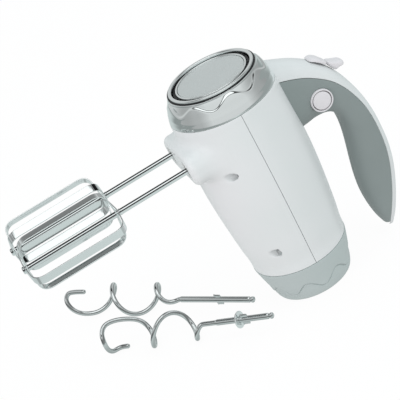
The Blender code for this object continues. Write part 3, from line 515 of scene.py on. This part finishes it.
def barrel_table():
    """Heights and radii of a smooth (Hermite) curve through BARREL."""
    height, radius = np.array(BARREL).T
    slope = np.gradient(radius, height)
    fine = np.linspace(height[0], height[-1], 2001)
    k = np.clip(np.searchsorted(height, fine, side="right") - 1, 0, len(height) - 2)
    gap = height[k + 1] - height[k]
    t = (fine - height[k]) / gap
    return fine, ((2 * t ** 3 - 3 * t ** 2 + 1) * radius[k]
                  + (t ** 3 - 2 * t ** 2 + t) * gap * slope[k]
                  + (-2 * t ** 3 + 3 * t ** 2) * radius[k + 1]
                  + (t ** 3 - t ** 2) * gap * slope[k + 1])


BARREL_HEIGHTS, BARREL_RADII = barrel_table()


def barrel_radius(z):
    return np.interp(z, BARREL_HEIGHTS, BARREL_RADII)


def smooth_min(a, b, blend):
    h = np.clip(0.5 + 0.5 * (b - a) / blend, 0, 1)
    return b + (a - b) * h - blend * h * (1 - h)


def smooth_max(a, b, blend):
    return -smooth_min(-a, -b, blend)


def rounded_corner(a, b, radius):
    """Distance to a corner between two walls, from the distances to the walls set in by radius."""
    return np.hypot(np.maximum(a, 0), np.maximum(b, 0)) + np.minimum(np.maximum(a, b), 0) - radius


def body_field(x, y, z):
    """Signed distance to the white body: barrel and nose boss, less the holes."""
    body = (np.hypot(x, y) - barrel_radius(z)) * BARREL_SCALE
    sides = rounded_corner(np.abs(y) - (NOSE_HALF_Y - NOSE_CORNER),
                           np.abs(z - SHAFT_Z) - (NOSE_HALF_Z - NOSE_CORNER), NOSE_CORNER)
    ends = np.abs(x - (NOSE_TIP + NOSE_ROOT) / 2) - (NOSE_ROOT - NOSE_TIP) / 2
    boss = rounded_corner(sides + NOSE_EDGE, ends + NOSE_EDGE, NOSE_EDGE)
    body = smooth_min(body, boss, NOSE_BLEND)
    for side in (-1, 1):
        for hole_y, hole_z, radius, floor_x, rim in HOLES:
            hole = np.maximum(np.hypot(y - side * hole_y, z - hole_z) - radius, x - floor_x)
            body = smooth_max(body, -hole, rim)
    return body


def make_half(half, points, faces, side):
    """One casing half (side is its sign of x): the skin cut at the parting plane and both rims."""
    mesh = bpy.data.meshes.new(half)
    mesh.from_pydata(points.tolist(), [], faces.tolist())
    bm = bmesh.new()
    bm.from_mesh(mesh)
    bpy.data.meshes.remove(mesh)
    for at, normal in (((HALF_GAP * side, 0, 0), (-side, 0, 0)),
                       ((0, 0, BODY_BOTTOM), (0, 0, -1)), ((0, 0, BODY_TOP), (0, 0, 1))):
        bmesh.ops.bisect_plane(bm, geom=bm.verts[:] + bm.edges[:] + bm.faces[:], dist=1e-5,
                               plane_co=at, plane_no=normal, clear_outer=True)
    bmesh.ops.recalc_face_normals(bm, faces=bm.faces)
    bm.normal_update()
    for depth in LIP_DEPTHS:
        rim = [e for e in bm.edges if e.is_boundary]
        for item in bmesh.ops.extrude_edge_only(bm, edges=rim)["geom"]:
            if isinstance(item, bmesh.types.BMVert):
                item.co -= Vector((item.co.x, item.co.y, 0)).normalized() * depth
    bm.verts.index_update()
    shape = ([v.co[:] for v in bm.verts], [tuple(v.index for v in f.verts) for f in bm.faces])
    bm.free()
    make(f"{half}_skin", shape, "body_white", replaces=f"{half}_shell", angle=50)


def make_body():
    step = SKIN_STEP
    points, faces = surface_nets(body_field, SKIN_LOW, SKIN_HIGH, step)
    points = project(body_field, points)
    make_half("nose_side", points, faces, -1)
    make_half("handle_side", points, faces, 1)


def heel_shift(theta, radius, z):
    """A groove that waves round the heel, the band below it set in a little."""
    wave = 11.3 + 4.2 * np.cos(8 * (theta + math.radians(112.5)))
    wall = (radius > 31.0) & (z > 0.4) & (z < 31.4) & (radius > 29.2 + 0.23 * z)
    inset = 0.55 / (1 + np.exp((z - wave) / 0.28)) * np.clip((z - 0.5) / 3.0, 0, 1)
    groove = 0.95 * np.exp(-((z - wave) / 0.55) ** 2)
    return radius - np.where(wall, inset + groove, 0), z


def make_heel():
    """Heel cap with six radial slots through its underside."""
    wall = [(float(barrel_radius(z)) + min(0.4, 0.4 * z / 29), z)
            for z in np.arange(2.2, 31.3, 0.45)]
    profile = fillet([(0.0, 0.0, 0), (28.0, 0.0, 0), (31.6, 0.0, 1.4), (*wall[0], 0)])[:-1]
    profile += wall
    profile += fillet([(40.45, 31.2, 0), (40.45, 31.5, 0.25), (37.8, 31.5, 0)])[1:]
    profile += [(36.0, 25.0), (32.6, 10.0), (29.8, 2.9), (0.0, 2.9)]
    heel = skin("heel_cap", turned(profile, 480, shift=heel_shift), "heel_grey")

    outline = fillet([(14, -1.5, 1.4), (26, -1.5, 1.4), (26, 1.5, 1.4), (14, 1.5, 1.4)], True, 4)
    points, faces = [], []
    for i in range(6):
        turn = Matrix.Rotation(math.radians(60 * i + 30), 3, "Z")
        line = [turn @ Vector((x, y, 0)) for x, y in outline]
        slot_points, slot_faces = loft([[(p.x, p.y, z) for p in line] for z in (-2.0, 6.0)])
        faces += [tuple(v + len(points) for v in face) for face in slot_faces]
        points += slot_points.tolist()
    cut(heel, "slot_cutter", (points, faces))


def ring_shift(theta, radius, z):
    """A step that waves round the ring's slope and fades out at both ends."""
    wave = 192.3 + 3.0 * np.cos(8 * (theta + math.radians(90)))
    slope = radius > np.interp(z, [178, 191, 198, 200], [43.2, 38.5, 36.3, 39])
    step_out = 0.50 * np.tanh((wave - z) / 0.75)
    fade = np.clip((197.6 - z) / 1.6, 0, 1) * np.clip((z - 178.6) / 5.0, 0, 1)
    return radius + np.where(slope, step_out * fade, 0), z


def make_top():
    """Polished ring with a rolled bead at its crest, and the emblem plate in its own ring."""
    heights = np.concatenate([np.arange(178.4, 187, 0.5), np.arange(187, 197.3, 0.26)])
    slope = [(float(barrel_radius(z)), z) for z in heights]
    crest = fillet([
        (*slope[-1], 0), (36.9, 197.9, 0.4), (36.35, 198.0, 0.5), (36.2, 199.8, 1.3),
        (33.4, 199.8, 1.3), (33.1, 197.0, 0.6), (32.75, 193.0, 0.4), (34.5, 191.4, 0.4),
        (38.8, 185.0, 0.6), (42.0, RING_BOTTOM, 0)], steps=7)
    foot = fillet([(42.0, RING_BOTTOM, 0), (45.05, RING_BOTTOM, 0.5), (*slope[0], 0)])
    profile = slope + crest[1:] + foot[1:-1]
    skin("front_trim_ring", turned(profile, 560, shift=ring_shift), "chrome", angle=50)

    # painted shade: a dark plastic line where the rolled bead meets the slope, standing in for the
    # dark of that groove
    seam = fillet([(36.0, 196.9, 0.1), (37.55, 196.95, 0.15), (37.35, 198.25, 0.15),
                   (36.0, 198.5, 0.1)], True, 3)
    make("front_trim_ring_shade_line", turned(seam, 240), "dark_plastic", angle=50)

    ring = fillet([(30.2, 192.8, 0.2), (30.2, 198.9, 0.75), (28.55, 198.9, 0.75),
                   (28.55, 192.8, 0.2)], True, 6)
    skin("emblem_ring", turned(ring, 200), "chrome", angle=50)
    plate = fillet([(0, 196.0, 0), (28.25, 196.0, 0.3), (28.25, 198.4, 0.35), (0, 198.45, 0)])
    plate = plate[:-1] + [(20, 198.42), (10, 198.44), (0, 198.45)]
    skin("emblem_plate", turned(plate, 200), "brushed_plate", angle=50)


# =============================== handle ===========================================
# stations down the handle: x, z of the edge away from the barrel; x, z of the edge towards it;
# half width in y; share of the depth that the white strap covers
HANDLE = [
    (40.0, 186.5, 40.0, 121.8, 17.0, 0.23), (52.0, 181.0, 50.0, 122.8, 16.0, 0.235),
    (64.0, 174.4, 58.6, 123.8, 15.5, 0.245), (75.0, 166.0, 67.0, 122.8, 15.0, 0.26),
    (84.0, 156.5, 72.6, 119.6, 15.0, 0.255), (91.3, 144.8, 75.0, 114.4, 15.0, 0.235),
    (96.6, 131.6, 75.4, 107.2, 15.0, 0.20), (100.4, 118.0, 74.8, 99.5, 15.0, 0.17),
    (102.6, 103.7, 73.4, 90.5, 15.0, 0.16), (103.2, 89.0, 71.4, 80.5, 15.0, 0.155),
    (102.7, 73.2, 69.0, 69.0, 15.0, 0.165), (100.4, 58.2, 66.9, 56.5, 14.6, 0.185),
    (96.4, 44.4, 65.8, 43.5, 14.0, 0.22), (90.8, 30.2, 66.4, 30.5, 13.0, 0.28),
    (84.8, 17.6, 68.4, 18.0, 11.0, 0.41), (79.6, 9.0, 71.0, 9.7, 8.0, 0.58)]
# further stations of the strap alone, round the handle's lower tip
TIP = [(77.6, 5.7, 72.9, 6.4, 5.4, 0.80), (76.3, 4.6, 74.2, 4.9, 2.2, 0.93)]
ROUNDNESS = 2.7          # power of the superellipse section: 2 is an ellipse, more is squarer
WALL = 2.4               # thickness of strap and grips
STRAP_GAP = 0.16         # from the strap's seam to each piece
GRIP_GAP = 0.14          # from the middle plane to each grip half
BUTTON_X, BUTTON_Z = 66.6, 138.8
WELL_RADIUS = 9.75


def section(station, part, steps):
    """Loop of one handle piece. part: 0 the white strap, -1 or +1 the grip half on that y side."""
    far_x, far_z, near_x, near_z, half_width, share = station
    far_edge, near_edge = np.array([far_x, 0, far_z]), np.array([near_x, 0, near_z])
    middle, depth = (far_edge + near_edge) / 2, np.linalg.norm(far_edge - near_edge)
    along, half_depth = (far_edge - near_edge) / depth, depth / 2
    wall = min(WALL, 0.42 * half_depth, 0.42 * half_width)

    def at(c, side, inset):
        """Place (along the depth, y) on the superellipse; c runs -1 to 1 along the depth."""
        y = (1 - min(1.0, abs(c)) ** ROUNDNESS) ** (1 / ROUNDNESS)
        return c * (half_depth - inset), side * y * (half_width - inset)

    seam = 1 - 2 * min(share, 0.965)
    gap = min(STRAP_GAP / half_depth, 0.05)
    if part == 0:
        reach = math.acos(max(-0.999, seam + gap))
        spots = [(math.cos(reach * (-1 + 2 * i / steps)), -1 if i < steps / 2 else 1)
                 for i in range(steps + 1)]
    else:
        reach = math.acos(max(-0.995, seam - gap))
        spots = [(math.cos(reach + (math.pi - reach) * i / steps), part)
                 for i in range(steps + 1)]
    outside = [at(c, side, 0) for c, side in spots]
    inside = [at(c, side, wall) for c, side in reversed(spots)]
    soft = min(0.55, 0.3 * wall)
    loop = []
    for line, radius in ((outside, soft), (inside, 0.3 * soft)):
        if part:
            line = [(h, part * max(abs(y), GRIP_GAP)) for h, y in line]
        loop += [(h, y, radius if i in (0, steps) else 0) for i, (h, y) in enumerate(line)]
    return np.array([middle + along * h + np.array([0, y, 0]) for h, y in fillet(loop, True, 3)])


def make_handle():
    stations = spline(HANDLE, 9)
    tip = spline([*HANDLE[-2:], *TIP], 7)[8:]
    strap = [section(s, 0, 44) for s in np.concatenate([stations, tip])]
    skin("handle_top_cover", loft(strap), "body_white", angle=45)
    left, _ = [skin(node, loft([section(s, side, 34) for s in stations]), "grip_grey", angle=45)
               for node, side in (("grip_left", -1), ("grip_right", 1))]
    # round well for the button, sunk into the near side
    well = [(0, -24), (WELL_RADIUS, -24), (WELL_RADIUS, -6), (0, -6)]
    cut(left, "well_cutter", turned(well, 72, (0, 1, 0), (BUTTON_X, 0, BUTTON_Z)))


# =============================== controls =========================================
# outlines in x, z
EJECT_OUTLINE = [
    (72.6, 168.5), (75.2, 169.2), (78.2, 168.2), (81.4, 165.7), (83.9, 162.5),
    (85.9, 159.7), (84.6, 157.6), (79.8, 162.4), (75.0, 166.6)]
SELECTOR_OUTLINE = [
    (86.6, 159.2), (90.2, 157.5), (94.4, 155.7), (97.0, 154.4), (98.4, 152.5), (98.0, 150.5),
    (96.2, 149.9), (93.4, 150.0), (90.2, 149.5), (88.4, 151.0), (85.6, 156.6)]
# button profiles: radius, distance towards -Y, and for the bezel a corner radius
BEZEL = [(9.5, 12.4, 0.3), (9.5, 16.4, 1.1), (9.0, 17.25, 0.8), (8.2, 17.0, 0.5),
         (8.05, 12.4, 0.3)]
BUTTON_FACE = [(0, 17.55), (3.0, 17.5)]
BUTTON_SIDE = [(5.5, 17.3, 0), (7.5, 17.0, 0.9), (7.65, 11.2, 0.3), (3.0, 11.2, 0.3),
               (3.0, 8.0, 0.3), (0, 8.0, 0)]


def make_controls():
    button = BUTTON_FACE + fillet(BUTTON_SIDE, steps=6)
    for node, profile, body in (("button_bezel", fillet(BEZEL, True, 6), "housing"),
                                ("turbo_button", button, "turbo_key")):
        shape = turned(profile, 120, (0, -1, 0), (BUTTON_X, 0, BUTTON_Z))
        skin(node, shape, "control_pale", body, angle=50)
    for node, outline, half, body in (("eject_button", EJECT_OUTLINE, 7.6, "eject_key"),
                                      ("speed_selector", SELECTOR_OUTLINE, 6.6, "selector")):
        skin(node, pillow(outline, half, power=3.2), "control_pale", body, angle=60)


# =============================== beaters ==========================================
BEATER_TIP, CAGE_TOP = -199.0, -115.0   # x ends of the cage
STRIP_WIDTH, STRIP_THICKNESS = 7.0, 1.0
STRIP_BULGE = 0.10
INNER_SQUEEZE = 1.6                     # how far loop b stops short of loop a at both ends
SHAFT_RADIUS = 2.45
# name, y, turn of loop a in degrees, cage radius
BEATERS = [("near", -SHAFT_Y, -8.0, 25.3), ("far", SHAFT_Y, 53.0, 23.3)]


def strip_loop(y, degrees, cage_radius, squeeze):
    """Flat strip bent into one closed loop about the beater's axis, its edges rounded."""
    top, tip = CAGE_TOP - squeeze, BEATER_TIP + squeeze
    reach = cage_radius - STRIP_THICKNESS / 2
    line = np.array(fillet([
        (top + 0.1, 0.0, 0), (top - 0.3, 5.0, 3.0), (top - 2.2, reach, 11.5),
        (tip + 2.6, reach, 11.5), (tip + 1.0, 5.0, 3.0), (tip + 0.7, 0.0, 0)], False, 14))
    path = np.concatenate([line, line[::-1][1:-1] * np.array([1, -1])])
    ahead = np.roll(path, -1, 0) - np.roll(path, 1, 0)
    normals = np.stack([-ahead[:, 1], ahead[:, 0]], 1)
    normals /= np.linalg.norm(normals, axis=1)[:, None]
    angle = math.radians(degrees)
    out = np.array([0, -math.cos(angle), math.sin(angle)])
    across = np.array([0, math.sin(angle), math.cos(angle)])
    w, t = STRIP_WIDTH / 2, STRIP_THICKNESS / 2
    edge = fillet([(-w, -t, 0.42), (w, -t, 0.42), (w, t, 0.42), (-w, t, 0.42)], True, 4)
    bulged = [(u, v + STRIP_BULGE * math.cos(math.pi * u / STRIP_WIDTH)) for u, v in edge]
    points = [np.array([p[0] + n[0] * v, y, SHAFT_Z]) + out * (p[1] + n[1] * v) + across * u
              for p, n in zip(path, normals) for u, v in bulged]
    return np.array(points), loop_faces(len(path), len(bulged), True)


def make_beaters():
    # shaft: radius, x, corner radius
    shaft = fillet([
        (0, BEATER_TIP - 1.5, 0), (2.4, BEATER_TIP - 1.4, 0.8), (3.3, BEATER_TIP - 0.5, 0.5),
        (2.9, BEATER_TIP + 0.2, 0.3), (SHAFT_RADIUS, BEATER_TIP + 0.5, 0.4),
        (SHAFT_RADIUS, CAGE_TOP + 0.9, 0.2), (2.75, CAGE_TOP + 1.1, 0.2),
        (2.75, CAGE_TOP + 2.0, 0.2), (SHAFT_RADIUS, CAGE_TOP + 2.2, 0.2),
        (SHAFT_RADIUS, -46.0, 0.3), (SHAFT_RADIUS, -28.4, 0.5), (1.8, -26.1, 0.4), (0, -26.0, 0)])
    for name, y, degrees, cage_radius in BEATERS:
        body = f"beater_{name}"
        skin(f"{body}_shaft", turned(shaft, 48, (1, 0, 0), (0, y, SHAFT_Z)), "chrome", body,
             angle=50, finish=SHAFT_CHROME)
        for letter, turn, squeeze in (("a", 0, 0.0), ("b", 90, INNER_SQUEEZE)):
            skin(f"{body}_loop_{letter}", strip_loop(y, degrees + turn, cage_radius, squeeze),
                 "chrome", body, angle=60, finish=STRIP_CHROME[name, letter])


# =============================== dough hooks ======================================
COIL_RADIUS, WIRE_RADIUS, SHANK_RADIUS = 12.6, 2.0, 2.5
LUG_HALF_THICKNESS = 0.72
# bent free end of each wire: turns round the axis, pitches along it
TAIL_A = [(0.05, 0.05), (0.20, 0.22), (0.34, 0.39), (0.45, 0.51), (0.55, 0.64), (0.64, 0.80),
          (0.745, 0.93), (0.85, 1.0), (0.92, 0.97), (0.94, 0.84), (0.944, 0.62)]
TAIL_B = [(0.05, 0.05), (0.18, 0.17), (0.30, 0.32), (0.38, 0.54), (0.44, 0.73), (0.51, 0.86),
          (0.60, 0.90), (0.72, 0.88), (0.86, 0.90), (0.96, 0.89), (1.0, 0.80), (1.005, 0.66)]
# name, sign of up, (x, y) on the floor, azimuth in degrees, pitch, phase in turns, turns over
# which the coil closes on its axis, shank's end, lugs' start (both along the axis), tail
HOOKS = [
    ("a", 1, (-129.7, 98.2), -54.4, 50.5, -0.095, 0.5, 156.0, 115.0, TAIL_A),
    ("b", -1, (-120.3, 22.6), -44.2, 42.5, 0.065, 0.26, 118.5, 88.5, TAIL_B)]


def hook_path(pitch, phase, run, stations):
    """Centre line of a hook's wire, its axis along x: tail, coil, then in to the shank."""
    tail = spline(stations, 12)[::-1][:-1]
    angle = -2 * math.pi * tail[:, 0]
    bent = np.stack([(-tail[:, 1] - phase) * pitch,
                     -COIL_RADIUS * np.sin(angle), COIL_RADIUS * np.cos(angle)], 1)
    t = np.linspace(-stations[0][0] - phase, 1.5, 110)
    closing = np.clip((t - 1.0 + max(phase, 0.0)) / run, 0, 1)
    radius = COIL_RADIUS * (0.5 + 0.5 * np.cos(math.pi * closing)) ** 0.8
    angle = 2 * math.pi * (t + phase)
    coil = np.stack([t * pitch, -radius * np.sin(angle), radius * np.cos(angle)], 1)
    path = np.concatenate([bent, coil])
    # even out the bends and the spacing
    for _ in range(3):
        path[1:-1] = 0.25 * path[:-2] + 0.5 * path[1:-1] + 0.25 * path[2:]
    reach = np.concatenate([[0], np.cumsum(np.linalg.norm(np.diff(path, axis=0), axis=1))])
    even = np.linspace(0, reach[-1], 260)
    return np.stack([np.interp(even, reach, path[:, i]) for i in range(3)], 1)


def make_hook(name, up, centre, azimuth, pitch, phase, run, end, lug, tail):
    """One hook lying on the floor: wire, shank, flat lugs and, on hook b, a collar."""
    angle = math.radians(azimuth)
    axis = np.array([math.cos(angle), math.sin(angle), 0])
    side = np.array([-math.sin(angle), math.cos(angle), 0])
    base = np.array([*centre, COIL_RADIUS + WIRE_RADIUS]) - axis * (pitch / 2)
    body = f"dough_hook_{name}"

    def lay(points, up=1):
        return base + points @ np.array([axis, side, [0, 0, up]])

    wire_path = lay(hook_path(pitch, phase, run, tail), up)
    skin(f"hook_{name}_wire", tube(wire_path, WIRE_RADIUS, 20), "chrome", body, angle=60,
         finish=HOOK_CHROME)

    start = 1.5 * pitch + 0.9
    shank = fillet([
        (0, start - 0.8, 0), (2.05, start - 0.8, 0.4), (SHANK_RADIUS, start + 0.8, 0.6),
        (SHANK_RADIUS, end - 5.0, 0.5), (1.9, end - 4.1, 0.4), (1.9, end - 3.2, 0.4),
        (SHANK_RADIUS, end - 2.3, 0.5), (SHANK_RADIUS, end - 1.0, 0.7), (1.3, end, 0.5),
        (0, end, 0)])
    skin(f"hook_{name}_shank", turned(shank, 40, tuple(axis), tuple(base)), "chrome", body,
         angle=50, finish=HOOK_CHROME)

    wing = [(lug, -4.6), (lug + 1.6, -4.8), (lug + 4.9, -4.8), (lug + 6.5, -4.0),
            (lug + 6.5, 4.0), (lug + 4.9, 4.8), (lug + 1.6, 4.8), (lug, 4.6)]
    points, faces = pillow(wing, LUG_HALF_THICKNESS, power=5.0, per=4, layers=8)
    make(f"hook_{name}_lugs", (lay(points), faces), "chrome", body, angle=60, finish=HOOK_CHROME)
    if name == "b":
        bore = SHANK_RADIUS + 0.1
        collar = fillet([(bore, lug - 2.6, 0.2), (7.0, lug - 2.6, 0.5), (7.0, lug - 1.2, 0.5),
                         (bore, lug - 1.2, 0.2)], True)
        skin("hook_b_collar", turned(collar, 72, tuple(axis), tuple(base)), "chrome", body,
             angle=50)


# =============================== spring ===========================================
SPRING_START, SPRING_LENGTH = 13.9, 6.3   # along x
SPRING_RADIUS, SPRING_WIRE, SPRING_TURNS = 5.2, 0.45, 3


def make_spring():
    """Return spring of the ejector, seated on the gear frame."""
    k = np.linspace(0, 1, 150)
    angle = 2 * math.pi * SPRING_TURNS * k
    path = np.stack([SPRING_START + SPRING_LENGTH * k, SPRING_RADIUS * np.cos(angle),
                     SHAFT_Z + SPRING_RADIUS * np.sin(angle)], 1)
    spring = skin("eject_spring", tube(path, SPRING_WIRE, 12), "steel", angle=60)
    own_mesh(spring)


# =============================== cord =============================================
CORD_AZIMUTH, CORD_Z, CORD_RADIUS = 70, 65.0, 3.0
CORD_START, CORD_END = 37, 80   # from the barrel's axis
CORD_DROP = 24
RELIEF_END = 61.0               # where the sleeve ends and the cord starts to droop
RELIEF_RIBS, RIB_PITCH, RIB_TAPER = 6, 2.1, 0.17


def make_cord():
    """Ribbed sleeve, and the short length of cord that droops out of it."""
    angle = math.radians(CORD_AZIMUTH)
    out = np.array([math.cos(angle), math.sin(angle), 0])
    # radius, distance from the barrel's axis, corner radius
    line = [(3.3, 37.7, 0.2), (5.5, 37.7, 0.3), (5.5, 39.8, 0.3), (4.5, 40.2, 0.2),
            (4.5, 44.9, 0.2), (6.0, 45.2, 0.5), (6.0, 47.2, 0.5)]
    for k in range(RELIEF_RIBS):
        start, crest = 47.8 + RIB_PITCH * k, 5.3 - RIB_TAPER * k
        line += [(crest - 0.65, start, 0.3), (crest - 0.65, start + 0.7, 0.3),
                 (crest, start + 1.0, 0.3), (crest, start + 1.8, 0.3)]
    line += [(4.2, RELIEF_END, 0.4), (3.3, RELIEF_END, 0.2)]
    skin("cord_strain_relief", turned(fillet(line, True, 3), 48, tuple(out), (0, 0, CORD_Z)),
         "cord_rubber", angle=50)

    reach = np.linspace(CORD_START, CORD_END, 60)
    beyond = np.maximum(reach - RELIEF_END, 0) / (CORD_END - RELIEF_END)
    path = np.outer(reach, out) + np.outer(CORD_Z - CORD_DROP * beyond ** 2, [0, 0, 1])
    skin("power_cord", tube(path, CORD_RADIUS, 24), "cord_rubber", angle=60)


# =============================== stage ============================================
FLOOR_HALF, FLOOR_Z = 6.0, -0.0005
# brightness of the floor in reflections: x in metres, grey
FLOOR_REFLECTED = [(-1.0, 0.30), (-0.78, 0.36), (-0.52, 0.52), (-0.34, 0.62), (-0.05, 0.66),
                   (0.40, 0.64), (0.65, 0.50), (1.1, 0.36), (1.5, 0.34)]
# what polished surfaces reflect towards -Y and +Y: degrees above the horizon, grey
FRONT_PANELS = [(-90, 0.56), (0, 0.58), (38, 0.66), (43, 0.10), (51, 0.02), (53, 0.85),
                (60, 1.0), (90, 1.0)]
BACK_PANELS = [(-90, 0.5), (0, 0.52), (44, 0.54), (50, 0.10), (66, 0.02), (70, 0.9), (90, 1.0)]
PANEL_TINT = (0.97, 1.0, 1.0)
# share of +Y panels, over the y of the direction
BEHIND = [(-1, 0), (-0.15, 0), (0.15, 1), (1, 1)]
# dimming of the panels to both sides, over the x of the direction
SIDES = [(-1, 0.66), (-0.93, 0.68), (-0.72, 1.0), (0.58, 1.0), (0.88, 0.62), (1, 0.56)]


def glow(tree, kind, colour=(1, 1, 1, 1), strength=1.0):
    """Emission or Background node."""
    return add(tree, kind, {"Color": colour, "Strength": strength})


def floor_material():
    """Near-white glow to the camera, graded grey to reflections, a soft bounce to the rest."""
    mat = bpy.data.materials.new("pale_floor")
    mat.use_nodes = True
    tree = mat.node_tree
    tree.nodes.clear()
    result = add(tree, "OutputMaterial")
    rays = add(tree, "LightPath").outputs
    matte = add(tree, "BsdfDiffuse", {"Color": (0.9, 0.9, 0.9, 1)})
    seen = mix_shaders(tree, 0.06, glow(tree, "Emission"), matte)
    bounce = glow(tree, "Emission", (1.0, 0.985, 0.99, 1), strength=0.80)
    place = add(tree, "TexCoord").outputs["Object"]
    along = add(tree, "SeparateXYZ", {0: place}).outputs["X"]
    fall = grey_ramp(tree, along, -1.0, 1.5, FLOOR_REFLECTED, tint=(0.91, 1, 0.99))
    reflected = glow(tree, "Emission", fall)
    unseen = mix_shaders(tree, rays["Is Glossy Ray"], bounce, reflected)
    wire(tree, result, {"Surface": mix_shaders(tree, rays["Is Camera Ray"], unseen, seen)})
    return mat


def stage_floor():
    mesh = bpy.data.meshes.new("floor")
    bm = bmesh.new()
    bmesh.ops.create_grid(bm, x_segments=2, y_segments=2, size=FLOOR_HALF)
    bm.to_mesh(mesh)
    bm.free()
    floor = add_object("floor", mesh)
    floor.location = (0, 0, FLOOR_Z)
    mesh.materials.append(floor_material())


def studio_world():
    """Even light for matt surfaces; for polished ones, white panels with dark flags between."""
    world = bpy.data.worlds.new("studio")
    bpy.context.scene.world = world
    world.use_nodes = True
    tree = world.node_tree
    tree.nodes.clear()
    result = add(tree, "OutputWorld")
    rays = add(tree, "LightPath").outputs
    place = add(tree, "TexCoord").outputs["Generated"]
    direction = add(tree, "SeparateXYZ", {0: place}).outputs
    rise = add(tree, "Math", {0: direction["Z"]}, operation="ARCSINE")
    degrees = add(tree, "Math", {0: rise, 1: 180 / math.pi}, operation="MULTIPLY")
    front = grey_ramp(tree, degrees, -90, 90, FRONT_PANELS, PANEL_TINT)
    back = grey_ramp(tree, degrees, -90, 90, BACK_PANELS, PANEL_TINT)
    behind = grey_ramp(tree, direction["Y"], -1, 1, BEHIND)
    panels = mix_colours(tree, "MIX", behind, front, back)
    sides = grey_ramp(tree, direction["X"], -1, 1, SIDES)
    panels = mix_colours(tree, "MULTIPLY", 1.0, panels, sides)
    polished = glow(tree, "Background", panels, strength=1.12)
    soft = glow(tree, "Background", (0.93, 0.98, 1.0, 1), strength=0.965)
    white = glow(tree, "Background")
    unseen = mix_shaders(tree, rays["Is Glossy Ray"], soft, polished)
    wire(tree, result, {"Surface": mix_shaders(tree, rays["Is Camera Ray"], unseen, white)})


def area_light(name, at, power, rgb, size=1.4, toward=(0, 0, 0.1)):
    """Round lamp that lights surfaces but is not itself reflected."""
    light = bpy.data.lights.new(name, "AREA")
    light.shape, light.size, light.energy, light.color = "DISK", size, power, rgb
    light.specular_factor = 0.35
    obj = add_object(name, light)
    obj.location = at
    obj.rotation_euler = (Vector(toward) - Vector(at)).to_track_quat("-Z", "Y").to_euler()
    obj.visible_glossy = False


def camera():
    """Long lens from -Y and above, rolled, and slid sideways and down in its own plane."""
    yaw, pitch, roll = math.radians(-6.6437), math.radians(26.4613), math.radians(28.5323)
    centre, distance, slide_left, slide_down = Vector((0, 0, 0.1118)), 1.57696, 0.04502, 0.02706
    back = Vector((math.sin(yaw) * math.cos(pitch), -math.cos(yaw) * math.cos(pitch),
                   math.sin(pitch)))
    level = Vector((math.cos(yaw), math.sin(yaw), 0))
    upright = back.cross(level)
    right = level * math.cos(roll) - upright * math.sin(roll)
    up = level * math.sin(roll) + upright * math.cos(roll)
    data = bpy.data.cameras.new("photo_view")
    data.sensor_width, data.lens = 36.0, 180.0
    data.clip_start, data.clip_end = 0.05, 50.0
    cam = add_object("photo_view", data)
    at = centre + back * distance - right * slide_left - up * slide_down
    cam.matrix_world = Matrix.Translation(at) @ Matrix((right, up, back)).transposed().to_4x4()
    bpy.context.scene.camera = cam


dress_frame()
make_body()
make_heel()
make_top()
make_handle()
make_controls()
make_beaters()
for hook in HOOKS:
    make_hook(*hook)
make_spring()
make_cord()

stage_floor()
studio_world()
area_light("key", at=(1.3, -1.5, 1.9), power=11.6, rgb=(0.97, 1.0, 1.0))
area_light("fill", at=(-2.0, -0.95, 0.75), power=14.5, rgb=(1.0, 0.84, 0.88))
camera()
bpy.context.scene.view_settings.view_transform = "Standard"
bpy.context.scene.view_settings.look = "None"
